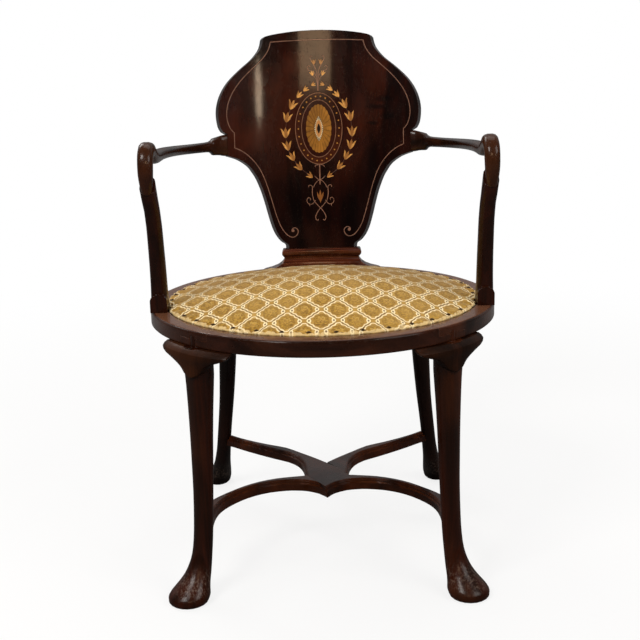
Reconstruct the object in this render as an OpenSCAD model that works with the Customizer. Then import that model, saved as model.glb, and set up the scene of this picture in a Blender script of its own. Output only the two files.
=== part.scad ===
// Mahogany armchair with a round upholstered seat, a shaped and hollowed solid back with
// marquetry, arms ending in crooks, and a shaped cross stretcher.
// Millimetres. +Z is up, the front of the chair faces -Y, the floor is Z = 0.
// "left" is the side on the left when the chair is seen from the front (-X).

/* [Seat] */
// height of the seat rail's top face above the floor
seat_h = 410; // [380:1:440]
// outside radius of the round seat rail
seat_r = 271; // [255:1:300]
// thickness of the seat rail
rail_t = 24; // [18:1:30]
// width of the seat rail seen from above
rail_w = 66; // [50:1:80]
// height of the stuffed seat's crown above the rail
crown_h = 40; // [15:1:55]

/* [Legs] */
// angle of each front leg from the fore and aft line, degrees
front_angle = 43.5; // [38:0.5:50]
// angle of each back leg from the fore and aft line, degrees
back_angle = 42.5; // [38:0.5:50]
// how far the front feet stand out beyond the top of the leg
front_kick = 42; // [20:1:60]
// how far the back feet stand behind the tops of the legs
back_kick = 80; // [40:1:100]
// radius of the front pad feet
foot_r = 31; // [24:0.5:36]
// height of the carved knee under the rail
knee_h = 43; // [30:1:55]

/* [Stretcher] */
// height of the stretcher's underside above the floor
stretcher_z = 94; // [70:1:140]
// thickness of the stretcher
stretcher_t = 19; // [14:1:24]

/* [Back] */
// height of the back above the shoe, along its lean
back_h = 382; // [340:1:420]
// half of the back's greatest width, along the curve
ear_s = 180; // [150:1:195]
// radius of the hollow in the back
back_r = 400; // [330:5:600]
// thickness of the back
back_t = 20; // [14:0.5:24]
// backward lean of the back, degrees
back_lean = 8; // [4:0.5:14]
// distance of the back's face, at its foot, inside the seat's rear edge
back_inset = 24; // [16:1:36]
// height of the shoe that carries the back
shoe_h = 37; // [28:1:46]
// thickness of the face veneer and its marquetry
veneer_t = 1; // [0.6:0.1:1.5]

/* [Arms] */
// height of the top of each crook above the floor
crook_h = 671; // [640:1:700]
// distance of each arm's centre line, at the crook, inside the seat's edge
arm_inset = 20.5; // [6:0.5:36]
// width of each arm support at its foot
post_w = 26; // [22:1:30]

/* [View] */
// one sub-part by name, or all of them

/* [Hidden] */
$fn = 48;
// polygon sides used for round pins and rings
seat_z0 = seat_h - rail_t;
rail_r0 = seat_r - rail_w;
rebate_r = seat_r - 24;
rebate_z = seat_h - 2;
lap_half = 6;
tenon_r = 11;
tenon_up = rail_t/2 + 4;
back_y = seat_r - back_inset;
back_z = seat_h + shoe_h;
arm_x = seat_r - arm_inset;
// turn of the cut that trims each side edge of the back
edge_turn = 18;
// arc length from the back's centre line to the arm joint
stub_s = 164;
// the back's top stands furthest back, the seat rail furthest forward
back_reach = back_y + back_t*cos(back_lean) + back_h*sin(back_lean);
mid_y = (back_reach - seat_r)/2;
fine = 0.01;

// curves
function cr(a, b, c, d, t) =
  0.5*(2*b + (c - a)*t + (2*a - 5*b + 4*c - d)*t*t + (3*b - a - 3*c + d)*t*t*t);
function spline(p, k) = concat(
  [for (i = [0:len(p) - 2]) for (j = [0:k - 1])
    cr(p[max(i - 1, 0)], p[i], p[i + 1], p[min(i + 2, len(p) - 1)], j/k)],
  [p[len(p) - 1]]);
function sgnpow(v, e) = sign(v)*pow(abs(v), e);
function unit(v) = v/norm(v);
// a ring of n points round c, spanned by side vector s and up vector u
function ring(c, s, u, a, b, e, n) =
  [for (i = [0:n - 1]) let (t = 360*(i + 0.5)/n)
    c + s*a*sgnpow(cos(t), 2/e) + u*b*sgnpow(sin(t), 2/e)];
function flip_x(p) = [for (q = p) [-q[0], q[1]]];
function rev(p) = [for (i = [len(p) - 1:-1:0]) p[i]];
// points beside an open line, d to its left
function beside(p, d) = [for (i = [0:len(p) - 1])
  let (t = unit(p[min(i + 1, len(p) - 1)] - p[max(i - 1, 0)])) p[i] + d*[-t[1], t[0]]];

module loft(r) {
  n = len(r[0]);
  m = len(r);
  polyhedron(
    points = [for (a = r) each a],
    faces = concat(
      [[for (i = [0:n - 1]) i]],
      [[for (i = [n - 1:-1:0]) (m - 1)*n + i]],
      [for (j = [0:m - 2]) for (i = [0:n - 1]) each [
        [j*n + i, (j + 1)*n + i, (j + 1)*n + (i + 1)%n],
        [j*n + i, (j + 1)*n + (i + 1)%n, j*n + (i + 1)%n]]]));
}

module mirrored(left) {
  if (left) mirror([1, 0, 0]) children();
  else children();
}

// seat rail
module rail_ring() {
  z0 = seat_z0;
  z1 = seat_h;
  rotate_extrude($fn = 180)
    polygon([[rail_r0, z0], [seat_r - 1.5, z0], [seat_r, z0 + 1.5], [seat_r, z1 - 4],
      [seat_r - 0.5, z1 - 2.2], [seat_r - 1.6, z1 - 0.8], [seat_r - 3.6, z1],
      [rebate_r, z1], [rebate_r - 0.5, rebate_z], [rail_r0, rebate_z]]);
}
// a wedge between two angles measured from -Y towards +X
module wedge(a0, a1, z0, z1) {
  steps = ceil((a1 - a0)/20);
  far = 2*seat_r;
  translate([0, 0, z0]) linear_extrude(z1 - z0)
    polygon(concat([[0, 0]], [for (i = [0:steps]) let (a = a0 + (a1 - a0)*i/steps)
      [far*sin(a), -far*cos(a)]]));
}
module leg_tenons() {
  for (s = [-1, 1]) {
    translate([s*front_top*sin(front_angle), -front_top*cos(front_angle), seat_z0 - 1])
      cylinder(r = tenon_r, h = tenon_up + 1);
    translate([s*back_top*sin(back_angle), back_top*cos(back_angle), seat_z0 - 1])
      cylinder(r = tenon_r, h = tenon_up + 1);
  }
}
// front and back rails have the lower halves of the corner laps
module end_rail(turn, a) {
  difference() {
    intersection() {
      rail_ring();
      rotate([0, 0, turn]) union() {
        wedge(-a + lap_half, a - lap_half, seat_z0 - 1, seat_h + 1);
        wedge(-a - lap_half, a + lap_half, seat_z0 - 1, seat_z0 + rail_t/2);
      }
    }
    leg_tenons();
    if (turn != 0) shoe_screw_holes();
  }
}
// side rails have the upper halves
module side_rail(left) {
  mirrored(left) difference() {
    intersection() {
      rail_ring();
      union() {
        wedge(front_angle + lap_half, 180 - back_angle - lap_half, seat_z0 - 1, seat_h + 1);
        wedge(front_angle - lap_half, 180 - back_angle + lap_half, seat_z0 + rail_t/2, seat_h + 1);
      }
    }
    leg_tenons();
    post_tenon();
    post_screw_hole();
  }
}

// legs
front_top = seat_r - 10;
back_top = seat_r - 25;
back_x = back_top*sin(back_angle);
back_top_y = back_top*cos(back_angle);
knee_z = seat_z0 - knee_h;
// the carved knee is turned a little further to the front than the leg
knee_angle = front_angle - 0.9;
leg_a = 18.6;
// stations: height, distance out, half width, half depth, squareness
front_leg_st = [
  [0, front_top + front_kick + 0.5, foot_r - 5, foot_r - 5, 2],
  [2, front_top + front_kick + 0.5, foot_r - 2, foot_r - 2, 2],
  [6, front_top + front_kick, foot_r - 0.4, foot_r - 0.4, 2],
  [12, front_top + front_kick - 2, foot_r - 0.2, foot_r, 2],
  [19, front_top + front_kick*0.86, foot_r*0.89, foot_r*0.91, 2],
  [28, front_top + front_kick*0.71, foot_r*0.75, foot_r*0.78, 2],
  [39, front_top + front_kick*0.54, foot_r*0.63, foot_r*0.66, 2],
  [52, front_top + front_kick*0.40, foot_r*0.545, foot_r*0.56, 2],
  [68, front_top + front_kick*0.29, 15.1, 15.3, 2],
  [90, front_top + front_kick*0.21, 14.3, 14.4, 2.1],
  [118, front_top + front_kick*0.155, 14.1, 14.1, 2.2],
  [162, front_top + front_kick*0.10, 14.2, 14.2, 2.35],
  [204, front_top + front_kick*0.07, 14.8, 14.8, 2.5],
  [251, front_top + front_kick*0.045, 15.5, 15.5, 2.7],
  [295, front_top + front_kick*0.02, 16.7, 16.7, 2.9],
  [330, front_top, 18, 18, 3.1],
  [knee_z, front_top, leg_a, leg_a, 3.2]];
// stations: height, out beyond the leg's top, behind it, half width, half depth, squareness
back_leg_st = [
  [0, 40, back_kick, 17.5, 19.5, 2],
  [2, 40, back_kick, 20.5, 22.5, 2],
  [6, 39.6, back_kick, 22.8, 24.8, 2],
  [12, 38.4, back_kick*0.975, 23.2, 25.4, 2],
  [20, 36, back_kick*0.9, 21.8, 23.8, 2],
  [30, 32.6, back_kick*0.79, 19.2, 21, 2],
  [43, 29, back_kick*0.655, 16.4, 17.8, 2],
  [60, 25.8, back_kick*0.5, 14.3, 15.2, 2],
  [85, 22, back_kick*0.36, 12.9, 13.2, 2],
  [112, 19, back_kick*0.255, 12.4, 12.6, 2.1],
  [150, 14.6, back_kick*0.15, 12.5, 12.5, 2.2],
  [193, 10, back_kick*0.08, 13.2, 13.2, 2.3],
  [251, 5.8, back_kick*0.02, 14.7, 14.7, 2.4],
  [320, 2, 0, 16, 16, 2.5],
  [seat_z0, 0, 0, 17, 17, 2.6]];
function leg_rings(st, k, n) = [for (q = spline(st, k))
  ring([0, -q[1], max(q[0], 0)], [1, 0, 0], [0, 1, 0], q[2], q[3], q[4], n)];
// a leg on the -Y axis, rotated to its corner by its callers
module front_leg_body() {
  loft(concat(leg_rings(front_leg_st, 2, 20),
    [ring([0, -front_top, seat_z0], [1, 0, 0], [0, 1, 0], leg_a, leg_a, 3.2, 20)]));
}
module back_leg_body() {
  loft([for (q = spline(back_leg_st, 2))
    ring([back_x + q[1], back_top_y + q[2], max(q[0], 0)], [1, 0, 0], [0, 1, 0], q[3], q[4], q[5], 16)]);
}
module front_leg(s) {
  difference() {
    rotate([0, 0, s*front_angle]) union() {
      front_leg_body();
      translate([0, -front_top, seat_z0 - 4]) cylinder(r = tenon_r, h = tenon_up + 4);
    }
    stretcher_tenon(s, -1);
  }
}
module back_leg(s) {
  difference() {
    mirrored(s < 0) union() {
      back_leg_body();
      translate([back_x, back_top_y, seat_z0 - 4]) cylinder(r = tenon_r, h = tenon_up + 4);
    }
    stretcher_tenon(s, 1);
  }
}

// knees: a moulded cap and two wings, housed round the top of the leg
// stations up from the point of the lappet: share of the height, half width, outer reach,
// and how far the section is carried towards the side of the chair
knee_st = [
  [0, 4, 22.5, 0], [0.06, 10, 23.8, 0], [0.14, 15.5, 24, 0.5], [0.24, 20, 23.4, 1],
  [0.33, 24, 23.4, 2], [0.42, 29.5, 23.6, 3.5], [0.50, 36, 24, 4.5], [0.58, 44, 24.8, 4.5],
  [0.66, 54, 25.6, 4], [0.75, 63.5, 25.6, 2.5], [0.84, 68, 24.8, 1.5], [0.93, 68.5, 21.6, 1],
  [1, 67, 16.7, 1]];
function knee_ring(z, w, reach, c) =
  let (ro = front_top + reach, n = 14)
  concat(
    [for (i = [0:n]) let (u = w*sin(-90 + 180*i/n), e = sqrt(max(0, 1 - u*u/(w*w))))
      [u + c, -(sqrt(ro*ro - u*u) - 5*(1 - e)), z]],
    [for (i = [1:n - 1]) let (u = w*sin(90 - 180*i/n), e = sqrt(max(0, 1 - u*u/(w*w))))
      [u + c, -(sqrt(ro*ro - u*u) - 5 - 29*pow(e, 0.8)), z]]);
module knee_body() {
  loft([for (q = spline(knee_st, 1)) knee_ring(knee_z + q[0]*knee_h, q[1], q[2], q[3])]);
}
module front_knee(s) {
  mirrored(s < 0) difference() {
    rotate([0, 0, knee_angle]) knee_body();
    rotate([0, 0, front_angle]) loft([for (z = [knee_z - 5, seat_z0 + 5])
      ring([0, -front_top, z], [1, 0, 0], [0, 1, 0], leg_a, leg_a, 3.2, 20)]);
  }
}

// stretcher: two S-shaped members halved together at the middle
// outer and inner edges of the member from the front left leg to the back right leg
// the member's outline is drawn for a seat of 271 mm radius and follows the seat's size
str_k = seat_r/271;
str_front_out = str_k*[[-198, -190], [-198, -160], [-194, -133], [-185, -107], [-172, -86], [-155, -66],
  [-136, -46], [-112, -28], [-84, -15], [-58, -9], [-34, -5]];
str_front_in = str_k*[[-172, -190], [-173, -162], [-171, -135], [-165, -112], [-154, -90], [-136, -66],
  [-116, -48], [-92, -35], [-66, -29], [-50, -29], [-33, -32.2], [-14, -44], [0, -62]];
str_back_out = str_k*[[0, 55], [9, 66], [20, 79], [43, 104], [68, 130], [97, 147], [126, 166],
  [152, 186], [173, 206], [182, 212]];
str_back_in = str_k*[[34, -5], [36.5, 22], [39, 48], [49, 78], [66, 101], [93, 121], [122, 144],
  [148, 166], [171, 187], [187, 197]];
hub_kite = str_k*[[-34, -5], [0, -62], [34, -5], [0, 55]];
str_n1 = 2*len(str_front_out) - 1;
str_n2 = 2*len(str_back_out) - 1;
str_n3 = 2*len(str_back_in) - 1;
// clockwise from above, starting at the front left leg
str_outline = concat(spline(str_front_out, 2), spline(str_back_out, 2), rev(spline(str_back_in, 2)),
  rev(spline(str_front_in, 2)));
// the edges along the halving joint and inside the legs are only eased
function str_plain(i) = i == str_n1 - 1 || i == str_n1 + str_n2 - 1
  || i == str_n1 + str_n2 + str_n3 - 1 || i == len(str_outline) - 1;
function str_inset(d) =
  let (p = str_outline, n = len(p))
  [for (i = [0:n - 1])
    let (u = unit(p[i] - p[(i + n - 1)%n]), v = unit(p[(i + 1)%n] - p[i]),
      a = str_plain((i + n - 1)%n) ? d*0.06 : d, b = str_plain(i) ? d*0.06 : d,
      c = u[0]*v[1] - u[1]*v[0],
      m = p[i] + a*[u[1], -u[0]], q = p[i] + b*[v[1], -v[0]],
      w = q - m)
    abs(c) < 0.02 ? m : m + u*(w[0]*v[1] - w[1]*v[0])/c];
// steps of the moulded edge: bottom, top and inset
str_steps = [[0, 1.6, 1.6], [1.6, stretcher_t - 6.6, 0], [stretcher_t - 6.6, stretcher_t - 5.4, 1.2],
  [stretcher_t - 5.4, stretcher_t - 2.4, 2.2], [stretcher_t - 2.4, stretcher_t - 0.8, 3],
  [stretcher_t - 0.8, stretcher_t, 4.4]];
module str_member_body() {
  for (q = str_steps)
    translate([0, 0, stretcher_z + q[0]]) linear_extrude(q[1] - q[0])
      polygon(rev([for (v = str_inset(q[2])) v]));
}
// room for the other member's half, run a little past the joint's open sides
module hub_block(z0, z1) {
  k = hub_kite;
  u = unit(k[0] - k[1]);
  v = unit(k[3] - k[2]);
  translate([0, 0, z0]) linear_extrude(z1 - z0)
    polygon([k[0] + 2*u, k[1] - 2*u, k[2] - 2*v, k[3] + 2*v]);
}
// where the legs' centre lines pass through the stretcher, and how they lean there
str_mid_z = stretcher_z + stretcher_t/2;
str_leg_r = front_top + front_kick*(0.21 - 0.055*(str_mid_z - 90)/28);
str_leg_x = str_leg_r*sin(front_angle);
str_leg_y = str_leg_r*cos(front_angle);
front_lean = atan(front_kick*0.055/28);
str_back_leg_x = back_x + 22 - 3*(str_mid_z - 85)/27;
str_back_leg_y = back_top_y + back_kick*(0.36 - 0.105*(str_mid_z - 85)/27);
back_lean_v = [-3/27, -back_kick*0.105/27];
// the members' ends are scribed to the legs
module leg_scribes(m) {
  rotate([0, 0, m*front_angle]) translate([0, -str_leg_r, str_mid_z]) rotate([-front_lean, 0, 0])
    translate([0, 0, -stretcher_t]) cylinder(r = 14.7, h = 2*stretcher_t);
  mirrored(m > 0) translate([str_back_leg_x, str_back_leg_y, str_mid_z])
    rotate([0, atan(norm(back_lean_v)), atan2(back_lean_v[1], back_lean_v[0])])
      translate([0, 0, -stretcher_t]) cylinder(r = 13, h = 2*stretcher_t);
}
// round tenon from the stretcher into a leg
module stretcher_tenon(s, end) {
  z = stretcher_z + stretcher_t/2;
  if (end < 0)
    translate([s*str_leg_x, -str_leg_y - 5, z]) rotate([-90, 0, 0])
      cylinder(r = 5, h = 30, $fn = 24);
  else
    translate([s*(str_back_leg_x + 2), str_back_leg_y + 2, z]) rotate([0, 0, -s*50]) rotate([90, 0, 0])
      cylinder(r = 5, h = 30, $fn = 24);
}
module stretcher_screw_hole() {
  translate([0, -4, stretcher_z - 1]) cylinder(r = 2.2, h = stretcher_t - 3, $fn = 24);
  translate([0, -4, stretcher_z - 1]) cylinder(r = 4.4, h = 4.4, $fn = 24);
}
// the left member runs from the front left leg to the back right leg
module stretcher(left) {
  m = left ? -1 : 1;
  z = stretcher_z;
  difference() {
    mirrored(!left) difference() {
      str_member_body();
      if (left) hub_block(z + stretcher_t/2, z + stretcher_t + 1);
      else hub_block(z - 1, z + stretcher_t/2);
    }
    leg_scribes(m);
    stretcher_screw_hole();
  }
  stretcher_tenon(m, -1);
  stretcher_tenon(-m, 1);
}

// back
// all of these are drawn flat, arc length across and height up, then laid on the hollow
function on_back(s) = back_r*sin(s/back_r*180/PI);
module lean_back() {
  translate([0, back_y, back_z]) rotate([-back_lean, 0, 0]) translate([0, -back_r, 0]) children();
}
// half outline of the back: shares of its half width and height
back_half_st = [[0.322, 0], [0.329, 0.018], [0.372, 0.032], [0.422, 0.062], [0.461, 0.103],
  [0.495, 0.158], [0.525, 0.212], [0.561, 0.268], [0.607, 0.322], [0.645, 0.352],
  [0.697, 0.384], [0.785, 0.412], [0.86, 0.425]];
back_ear_st = [[0.955, 0.541], [0.985, 0.566], [1, 0.614], [0.991, 0.662], [0.95, 0.716],
  [0.871, 0.771], [0.747, 0.827], [0.637, 0.87], [0.563, 0.911], [0.537, 0.939], [0.527, 0.962]];
back_crest_st = [[0.51, 0.971], [0.441, 0.98], [0.3, 0.991], [0.15, 0.998], [0, 1]];
stub_z0 = 0.4315*back_h;
stub_z1 = 0.53*back_h;
function sized(p) = [for (q = p) [q[0]*ear_s, q[1]*back_h]];
back_half = concat(spline(sized(back_half_st), 3), [[stub_s, stub_z0], [stub_s, stub_z1]],
  spline(sized(back_ear_st), 3), spline(sized(back_crest_st), 2));
module back_outline_half() {
  q = [for (p = back_half) [back_r*sin(p[0]/back_r*180/PI - edge_turn), p[1]]];
  in_x = back_r*sin(-1.6 - edge_turn);
  rotate([0, 0, -edge_turn]) rotate([90, 0, 0]) translate([0, 0, -back_r - 60])
    linear_extrude(120)
      polygon(concat([[in_x, 0]], q, [[in_x, back_h]]));
}
module back_shell(r0, r1, z0, z1) {
  translate([0, 0, z0]) rotate([0, 0, 50]) rotate_extrude(angle = 80, $fn = 180)
    translate([r0, 0]) square([r1 - r0, z1 - z0]);
}
module back_shape(r0, r1) {
  intersection() {
    back_shell(r0, r1, -5, back_h + 20);
    union() {
      back_outline_half();
      mirror([1, 0, 0]) back_outline_half();
    }
  }
}
// curved tenon at the foot of the back
module back_tenon(grow) {
  lean_back() intersection() {
    back_shell(back_r + 5, back_r + back_t - 5, -24, 2);
    translate([-50, 300, -24 + grow]) cube([100, 200, 30]);
  }
}
module back_panel_body() {
  difference() {
    union() {
      lean_back() back_shape(back_r + veneer_t, back_r + back_t);
      back_tenon(0);
    }
    arm_dowel_pair(false);
    arm_dowel_pair(true);
  }
}
module veneer_slab(z0, z1) {
  back_shell(back_r, back_r + veneer_t - 0.05, z0, z1);
}
// a flat drawing laid into the veneer, with a thin line of glue behind it
module laid() {
  lean_back() intersection() {
    veneer_slab(2, back_h);
    rotate([90, 0, 0]) translate([0, 0, -back_r - 20]) linear_extrude(80) children();
  }
}
function wrap(p) = [for (q = p) [on_back(q[0]), q[1]]];
function oval(a, b, n) = [for (i = [0:n - 1]) [a*cos(360*i/n), b*sin(360*i/n)]];

// marquetry
pat_z = 0.551*back_h;
pat_a = 42;
pat_b = 63;
string_w = 1.5;
// inset stringing line on one half, from the crest down to the scroll at the foot
string_half_st = [[82, 0.947*back_h], [83.5, 0.93*back_h], [87.5, 0.905*back_h],
  [98, 0.868*back_h], [117.5, 0.822*back_h], [137, 0.772*back_h], [153, 0.716*back_h],
  [162, 0.662*back_h], [164.5, 0.614*back_h], [162, 0.577*back_h], [157, 0.55*back_h],
  [151.5, 0.537*back_h]];
string_low_st = [[151.5, 0.468*back_h], [139, 0.454*back_h], [126, 0.43*back_h],
  [113, 0.393*back_h], [103, 0.35*back_h], [94, 0.288*back_h], [87, 0.225*back_h],
  [80, 0.16*back_h], [73, 0.109*back_h], [66, 0.078*back_h], [57.5, 0.056*back_h],
  [49, 0.0515*back_h], [42.6, 0.064*back_h], [41.3, 0.082*back_h], [46, 0.0945*back_h],
  [51.5, 0.09*back_h], [52.3, 0.08*back_h]];
function string_line() = concat(
  [[0, 0.9565*back_h], [28, 0.9553*back_h], [56, 0.952*back_h]],
  spline(string_half_st, 2), spline(string_low_st, 3));
module string_half(w) {
  p = string_line();
  polygon(wrap(concat(beside(p, w/2), rev(beside(p, -w/2)))));
  translate(wrap([[50.4, 0.0815*back_h]])[0]) circle(r = 2.6, $fn = 16);
}
module string_flat(w) {
  string_half(w);
  mirror([1, 0]) string_half(w);
}
module line2(p, w) {
  polygon(wrap(concat(beside(p, w/2), rev(beside(p, -w/2)))));
}
// one leaf with its stalk end at the origin, pointing up
module leaf(l, w) {
  polygon([[0, 0], [w*0.36, l*0.22], [w*0.5, l*0.48], [w*0.28, l*0.78], [0, l],
    [-w*0.28, l*0.78], [-w*0.5, l*0.48], [-w*0.36, l*0.22]]);
}
module husk(l) {
  half = [[0.05, 0], [0.17, 0.12], [0.3, 0.34], [0.38, 0.62], [0.5, 0.93], [0.27, 0.76],
    [0.13, 0.52], [0.13, 0.74], [0, 1.04]];
  polygon(concat([for (q = half) q*l], [for (i = [len(half) - 2:-1:0]) [-half[i][0], half[i][1]]*l]));
}
// wreath sprays on one half: distance out, height from the patera's middle, turn, size
sprays = [[11.5, 75.5, 62, 8.5], [25.5, 66, 50, 11], [37, 54.5, 38, 13], [49.5, 34.5, 24, 17.5],
  [57.5, 12, 12, 18], [59, -15.5, 0, 18.5], [55, -37.5, -10, 17.5], [45, -55.5, -28, 16.5],
  [31.5, -72, -42, 15.5], [13, -86, -52, 12]];
module wreath_half() {
  for (q = sprays) translate(wrap([[q[0], pat_z + q[1]]])[0])
    rotate(q[2]) husk(q[3]);
  for (q = [[8.2, 92.5, -20, 9], [5.8, 111.5, -8, 9.5]]) translate([q[0], pat_z + q[1]])
    rotate(q[2]) husk(q[3]);
}
module wreath_flat() {
  wreath_half();
  mirror([1, 0]) wreath_half();
  translate([0, pat_z - 131.5]) leaf(24, 5);
  for (s = [-1, 1]) translate([s*1.4, pat_z - 126.5]) rotate(s*-16) leaf(16, 3.2);
}
function arc(cx, cz, r, a0, a1, n) = [for (i = [0:n]) let (a = a0 + (a1 - a0)*i/n)
  [cx + r*cos(a), cz + r*sin(a)]];
module stems_half() {
  w = 1.1;
  translate([0, pat_z]) {
    // top sprig
    line2(spline([[0.5, 66.5], [1.2, 81.5], [5, 89.5], [8.6, 93]], 3), w);
    line2(spline([[1, 85.5], [3, 93.5], [9, 100.5], [15, 102], [17.6, 106.5], [15, 110],
      [12.4, 107.5]], 3), w);
    line2(spline([[0.8, 85.5], [1.6, 99.5], [5.4, 110.5]], 3), w);
    line2(spline([[3.5, 104.5], [9, 116.5], [12.5, 123.5], [10.5, 127], [8.6, 124.5]], 3), w);
    // lower strapwork
    line2(spline([[1.6, -63.5], [6.4, -64.3], [8.4, -67.1]], 3), w);
    line2(spline([[9.5, -83], [4, -88.5], [-4, -92], [-9, -97.5], [-12, -103.5]], 3), w);
    line2(spline([[20.5, -103], [20, -99.9], [16.4, -99.7], [13.8, -102.9], [14.2, -113.5], [11.5, -126.5],
      [4, -136], [-3, -143.5], [-8.4, -152.5], [-9, -158.5], [-6.6, -161.9], [-4, -160.5]], 3), w*1.15);
    line2(spline([[8.5, -126], [15, -133], [21.5, -132], [24.2, -126.5], [21.6, -121.7], [17.6, -122.9],
      [17.8, -126.1]], 3), w);
    line2([[19.8, -131.9], [19.2, -136]], w*1.3);
  }
}
module stems_flat() {
  difference() {
    union() {
      stems_half();
      mirror([1, 0]) stems_half();
      translate([0, pat_z]) {
        line2([[0, -62.9], [0, -86.5], [0, -98.5]], 2);
        line2([[0, 65.5], [0, 76.5], [0, 86.5]], 1.3);
      }
      wreath_line();
      mirror([1, 0]) wreath_line();
    }
    wreath_flat();
    translate([0, pat_z]) polygon(wrap(oval(pat_a, pat_b, 60)));
  }
}
module wreath_line() {
  line2(spline([for (q = sprays) [q[0] - 0.2, pat_z + q[1] + 0.5]], 2), 0.9);
}
module all_marquetry() {
  wreath_flat();
  stems_flat();
  translate([0, pat_z]) polygon(wrap(oval(pat_a, pat_b, 60)));
}
module oval2(a, b) {
  translate([0, pat_z]) polygon(wrap(oval(a, b, 60)));
}
module dots_flat() {
  for (i = [0:25]) let (a = 360*i/26)
    translate([on_back(36.2*cos(a)), pat_z + 56.6*sin(a)]) circle(r = 1.35, $fn = 12);
}
module petal_edge() {
  // scalloped rim of the petals
  translate([0, pat_z]) polygon(wrap([for (i = [0:95]) let (a = 360*i/96, k = 1 - 0.03*abs(sin(a*12)))
    [22.8*k*cos(a), 43*k*sin(a)]]));
}
module lozenge(k) {
  translate([0, pat_z]) polygon(wrap([for (i = [0:23]) let (a = 360*i/24, e = 1 - 0.17*pow(abs(sin(2*a)), 1.4))
    [7.9*k*e*cos(a), 21.8*k*e*sin(a)]]));
}

// shoe
module shoe_profile() {
  r0 = back_r - 9;
  r1 = back_r + back_t + 8;
  h = shoe_h;
  polygon([[r0 - 3, rebate_z - seat_h], [r1 + 1, rebate_z - seat_h], [r1 + 1, 6], [r1 - 1, h - 12], [r1 - 1, h - 3],
    [r1 - 3, h], [r0 + 4, h], [r0 + 1.2, h - 1.4], [r0 - 0.8, h - 4.6], [r0 - 0.6, h - 9],
    [r0 + 2, h - 13.6], [r0 + 4.4, h - 15], [r0 + 5, h - 18.5], [r0 + 3.6, h - 21.5],
    [r0 + 0.6, h - 23], [r0 - 1.8, h - 24.6], [r0 - 2.4, h - 26.6], [r0 - 1.2, h - 28.6],
    [r0 - 1.6, h - 30.5], [r0 - 3, h - 32.5]]);
}
module shoe_front() {
  h = shoe_h;
  half = [[104, -8], [104, 0.5], [100, 1.8], [88, 4], [78, 7.4], [72, 11.4], [69.4, 14.4], [67.2, 17.6],
    [66.2, 20.4], [67.6, 23.4], [70.2, 27], [70.6, 31], [69.4, h - 3], [66.8, h - 0.8], [64, h + 1]];
  polygon(concat(half, rev(flip_x(half))));
}
module back_shoe_body() {
  difference() {
    intersection() {
      translate([0, back_y - back_r, seat_h]) rotate_extrude($fn = 180) shoe_profile();
      translate([0, 400, seat_h]) rotate([90, 0, 0]) linear_extrude(300) shoe_front();
      translate([0, 0, seat_h - 20]) cylinder(r = seat_r - 1.6, h = 120, $fn = 180);
    }
    back_tenon(0);
    lean_back() translate([-120, back_r - 60, 0]) cube([240, 140, 60]);
    shoe_screw_holes();
    // the shoe is rebated over the rim
    difference() {
      translate([0, 0, seat_h - 10]) cylinder(r = seat_r + 40, h = 10, $fn = 180);
      translate([0, 0, seat_h - 11]) cylinder(r = rebate_r - 0.5, h = 12, $fn = 180);
    }
  }
}
shoe_screw_x = 58;
module shoe_screw_at(s) {
  translate([s*shoe_screw_x, back_y + 3, 0]) children();
}
module shoe_screw_holes() {
  for (s = [-1, 1]) shoe_screw_at(s) {
    translate([0, 0, seat_z0 - 1]) cylinder(r = 2.5, h = rail_t + 15, $fn = 24);
    translate([0, 0, seat_z0 - 1]) cylinder(r = 5, h = 5, $fn = 24);
  }
}
module wood_screw(h, r, head) {
  difference() {
    union() {
      cylinder(r = head, h = 1.2, $fn = 24);
      translate([0, 0, 1.2]) cylinder(r1 = head, r2 = r, h = head - r, $fn = 24);
      cylinder(r = r, h = h - 4, $fn = 24);
      translate([0, 0, h - 4]) cylinder(r1 = r, r2 = 0.3, h = 4, $fn = 24);
    }
    translate([-head, -0.6, -0.1]) cube([2*head, 1.2, 1.1]);
  }
}

// arms
// right arm, from the back's edge to the crook's tip
// place, width, height, squareness, turn of the side vector, turn of the up vector
arm_k = crook_h - 673;
arm_st = [
  [186, back_y - 13.5, 631.5, 20, 29, 3.4, 62, -3],
  [191, back_y - 17.5, 631.8, 21, 18.5, 3, 56, -2],
  [204, back_y - 33, 632, 22, 16.4, 2.8, 46, 0],
  [221, back_y - 63, 633, 22.6, 16, 2.7, 33, 0],
  [arm_x - 13.5, 136, 635.5, 23.2, 16.2, 2.7, 20, 0],
  [arm_x - 4.5, 80, 638.5, 23.6, 16.8, 2.7, 11, 0],
  [arm_x, 20, 641, 24, 17.4, 2.8, 5, 0],
  [arm_x + 0.5, -30, 642.5 + arm_k*0.4, 24.4, 18.2, 2.9, 2, -3],
  [arm_x + 0.5, -58, 646 + arm_k*0.7, 24.4, 20, 3, 0, -14],
  [arm_x + 0.2, -78, 654 + arm_k, 24, 22, 3, 0, -20],
  [arm_x - 0.2, -92, 660 + arm_k, 23.6, 23.4, 2.9, 0, -6],
  [arm_x - 0.4, -106, 661 + arm_k, 23.4, 23.8, 2.8, 0, 22],
  [arm_x - 0.2, -117, 654.5 + arm_k, 23, 23.4, 2.7, 0, 52],
  [arm_x, -122.5, 643 + arm_k, 22.6, 22.6, 2.7, 0, 78],
  [arm_x + 0.2, -123.5, 629 + arm_k, 22, 21.6, 2.6, 0, 98],
  [arm_x + 0.4, -120.5, 616 + arm_k, 20, 21.4, 2.6, 0, 116],
  [arm_x + 0.8, -115, 606 + arm_k, 16.8, 23.6, 2.5, 0, 135]];
function arm_ring(q) =
  let (s = [cos(q[6]), sin(q[6]), 0], f = [sin(q[6]), -cos(q[6]), 0])
  ring([q[0], q[1], q[2]], s, cos(q[7])*[0, 0, 1] + sin(q[7])*f, q[3]/2, q[4]/2, q[5], 16);
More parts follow.
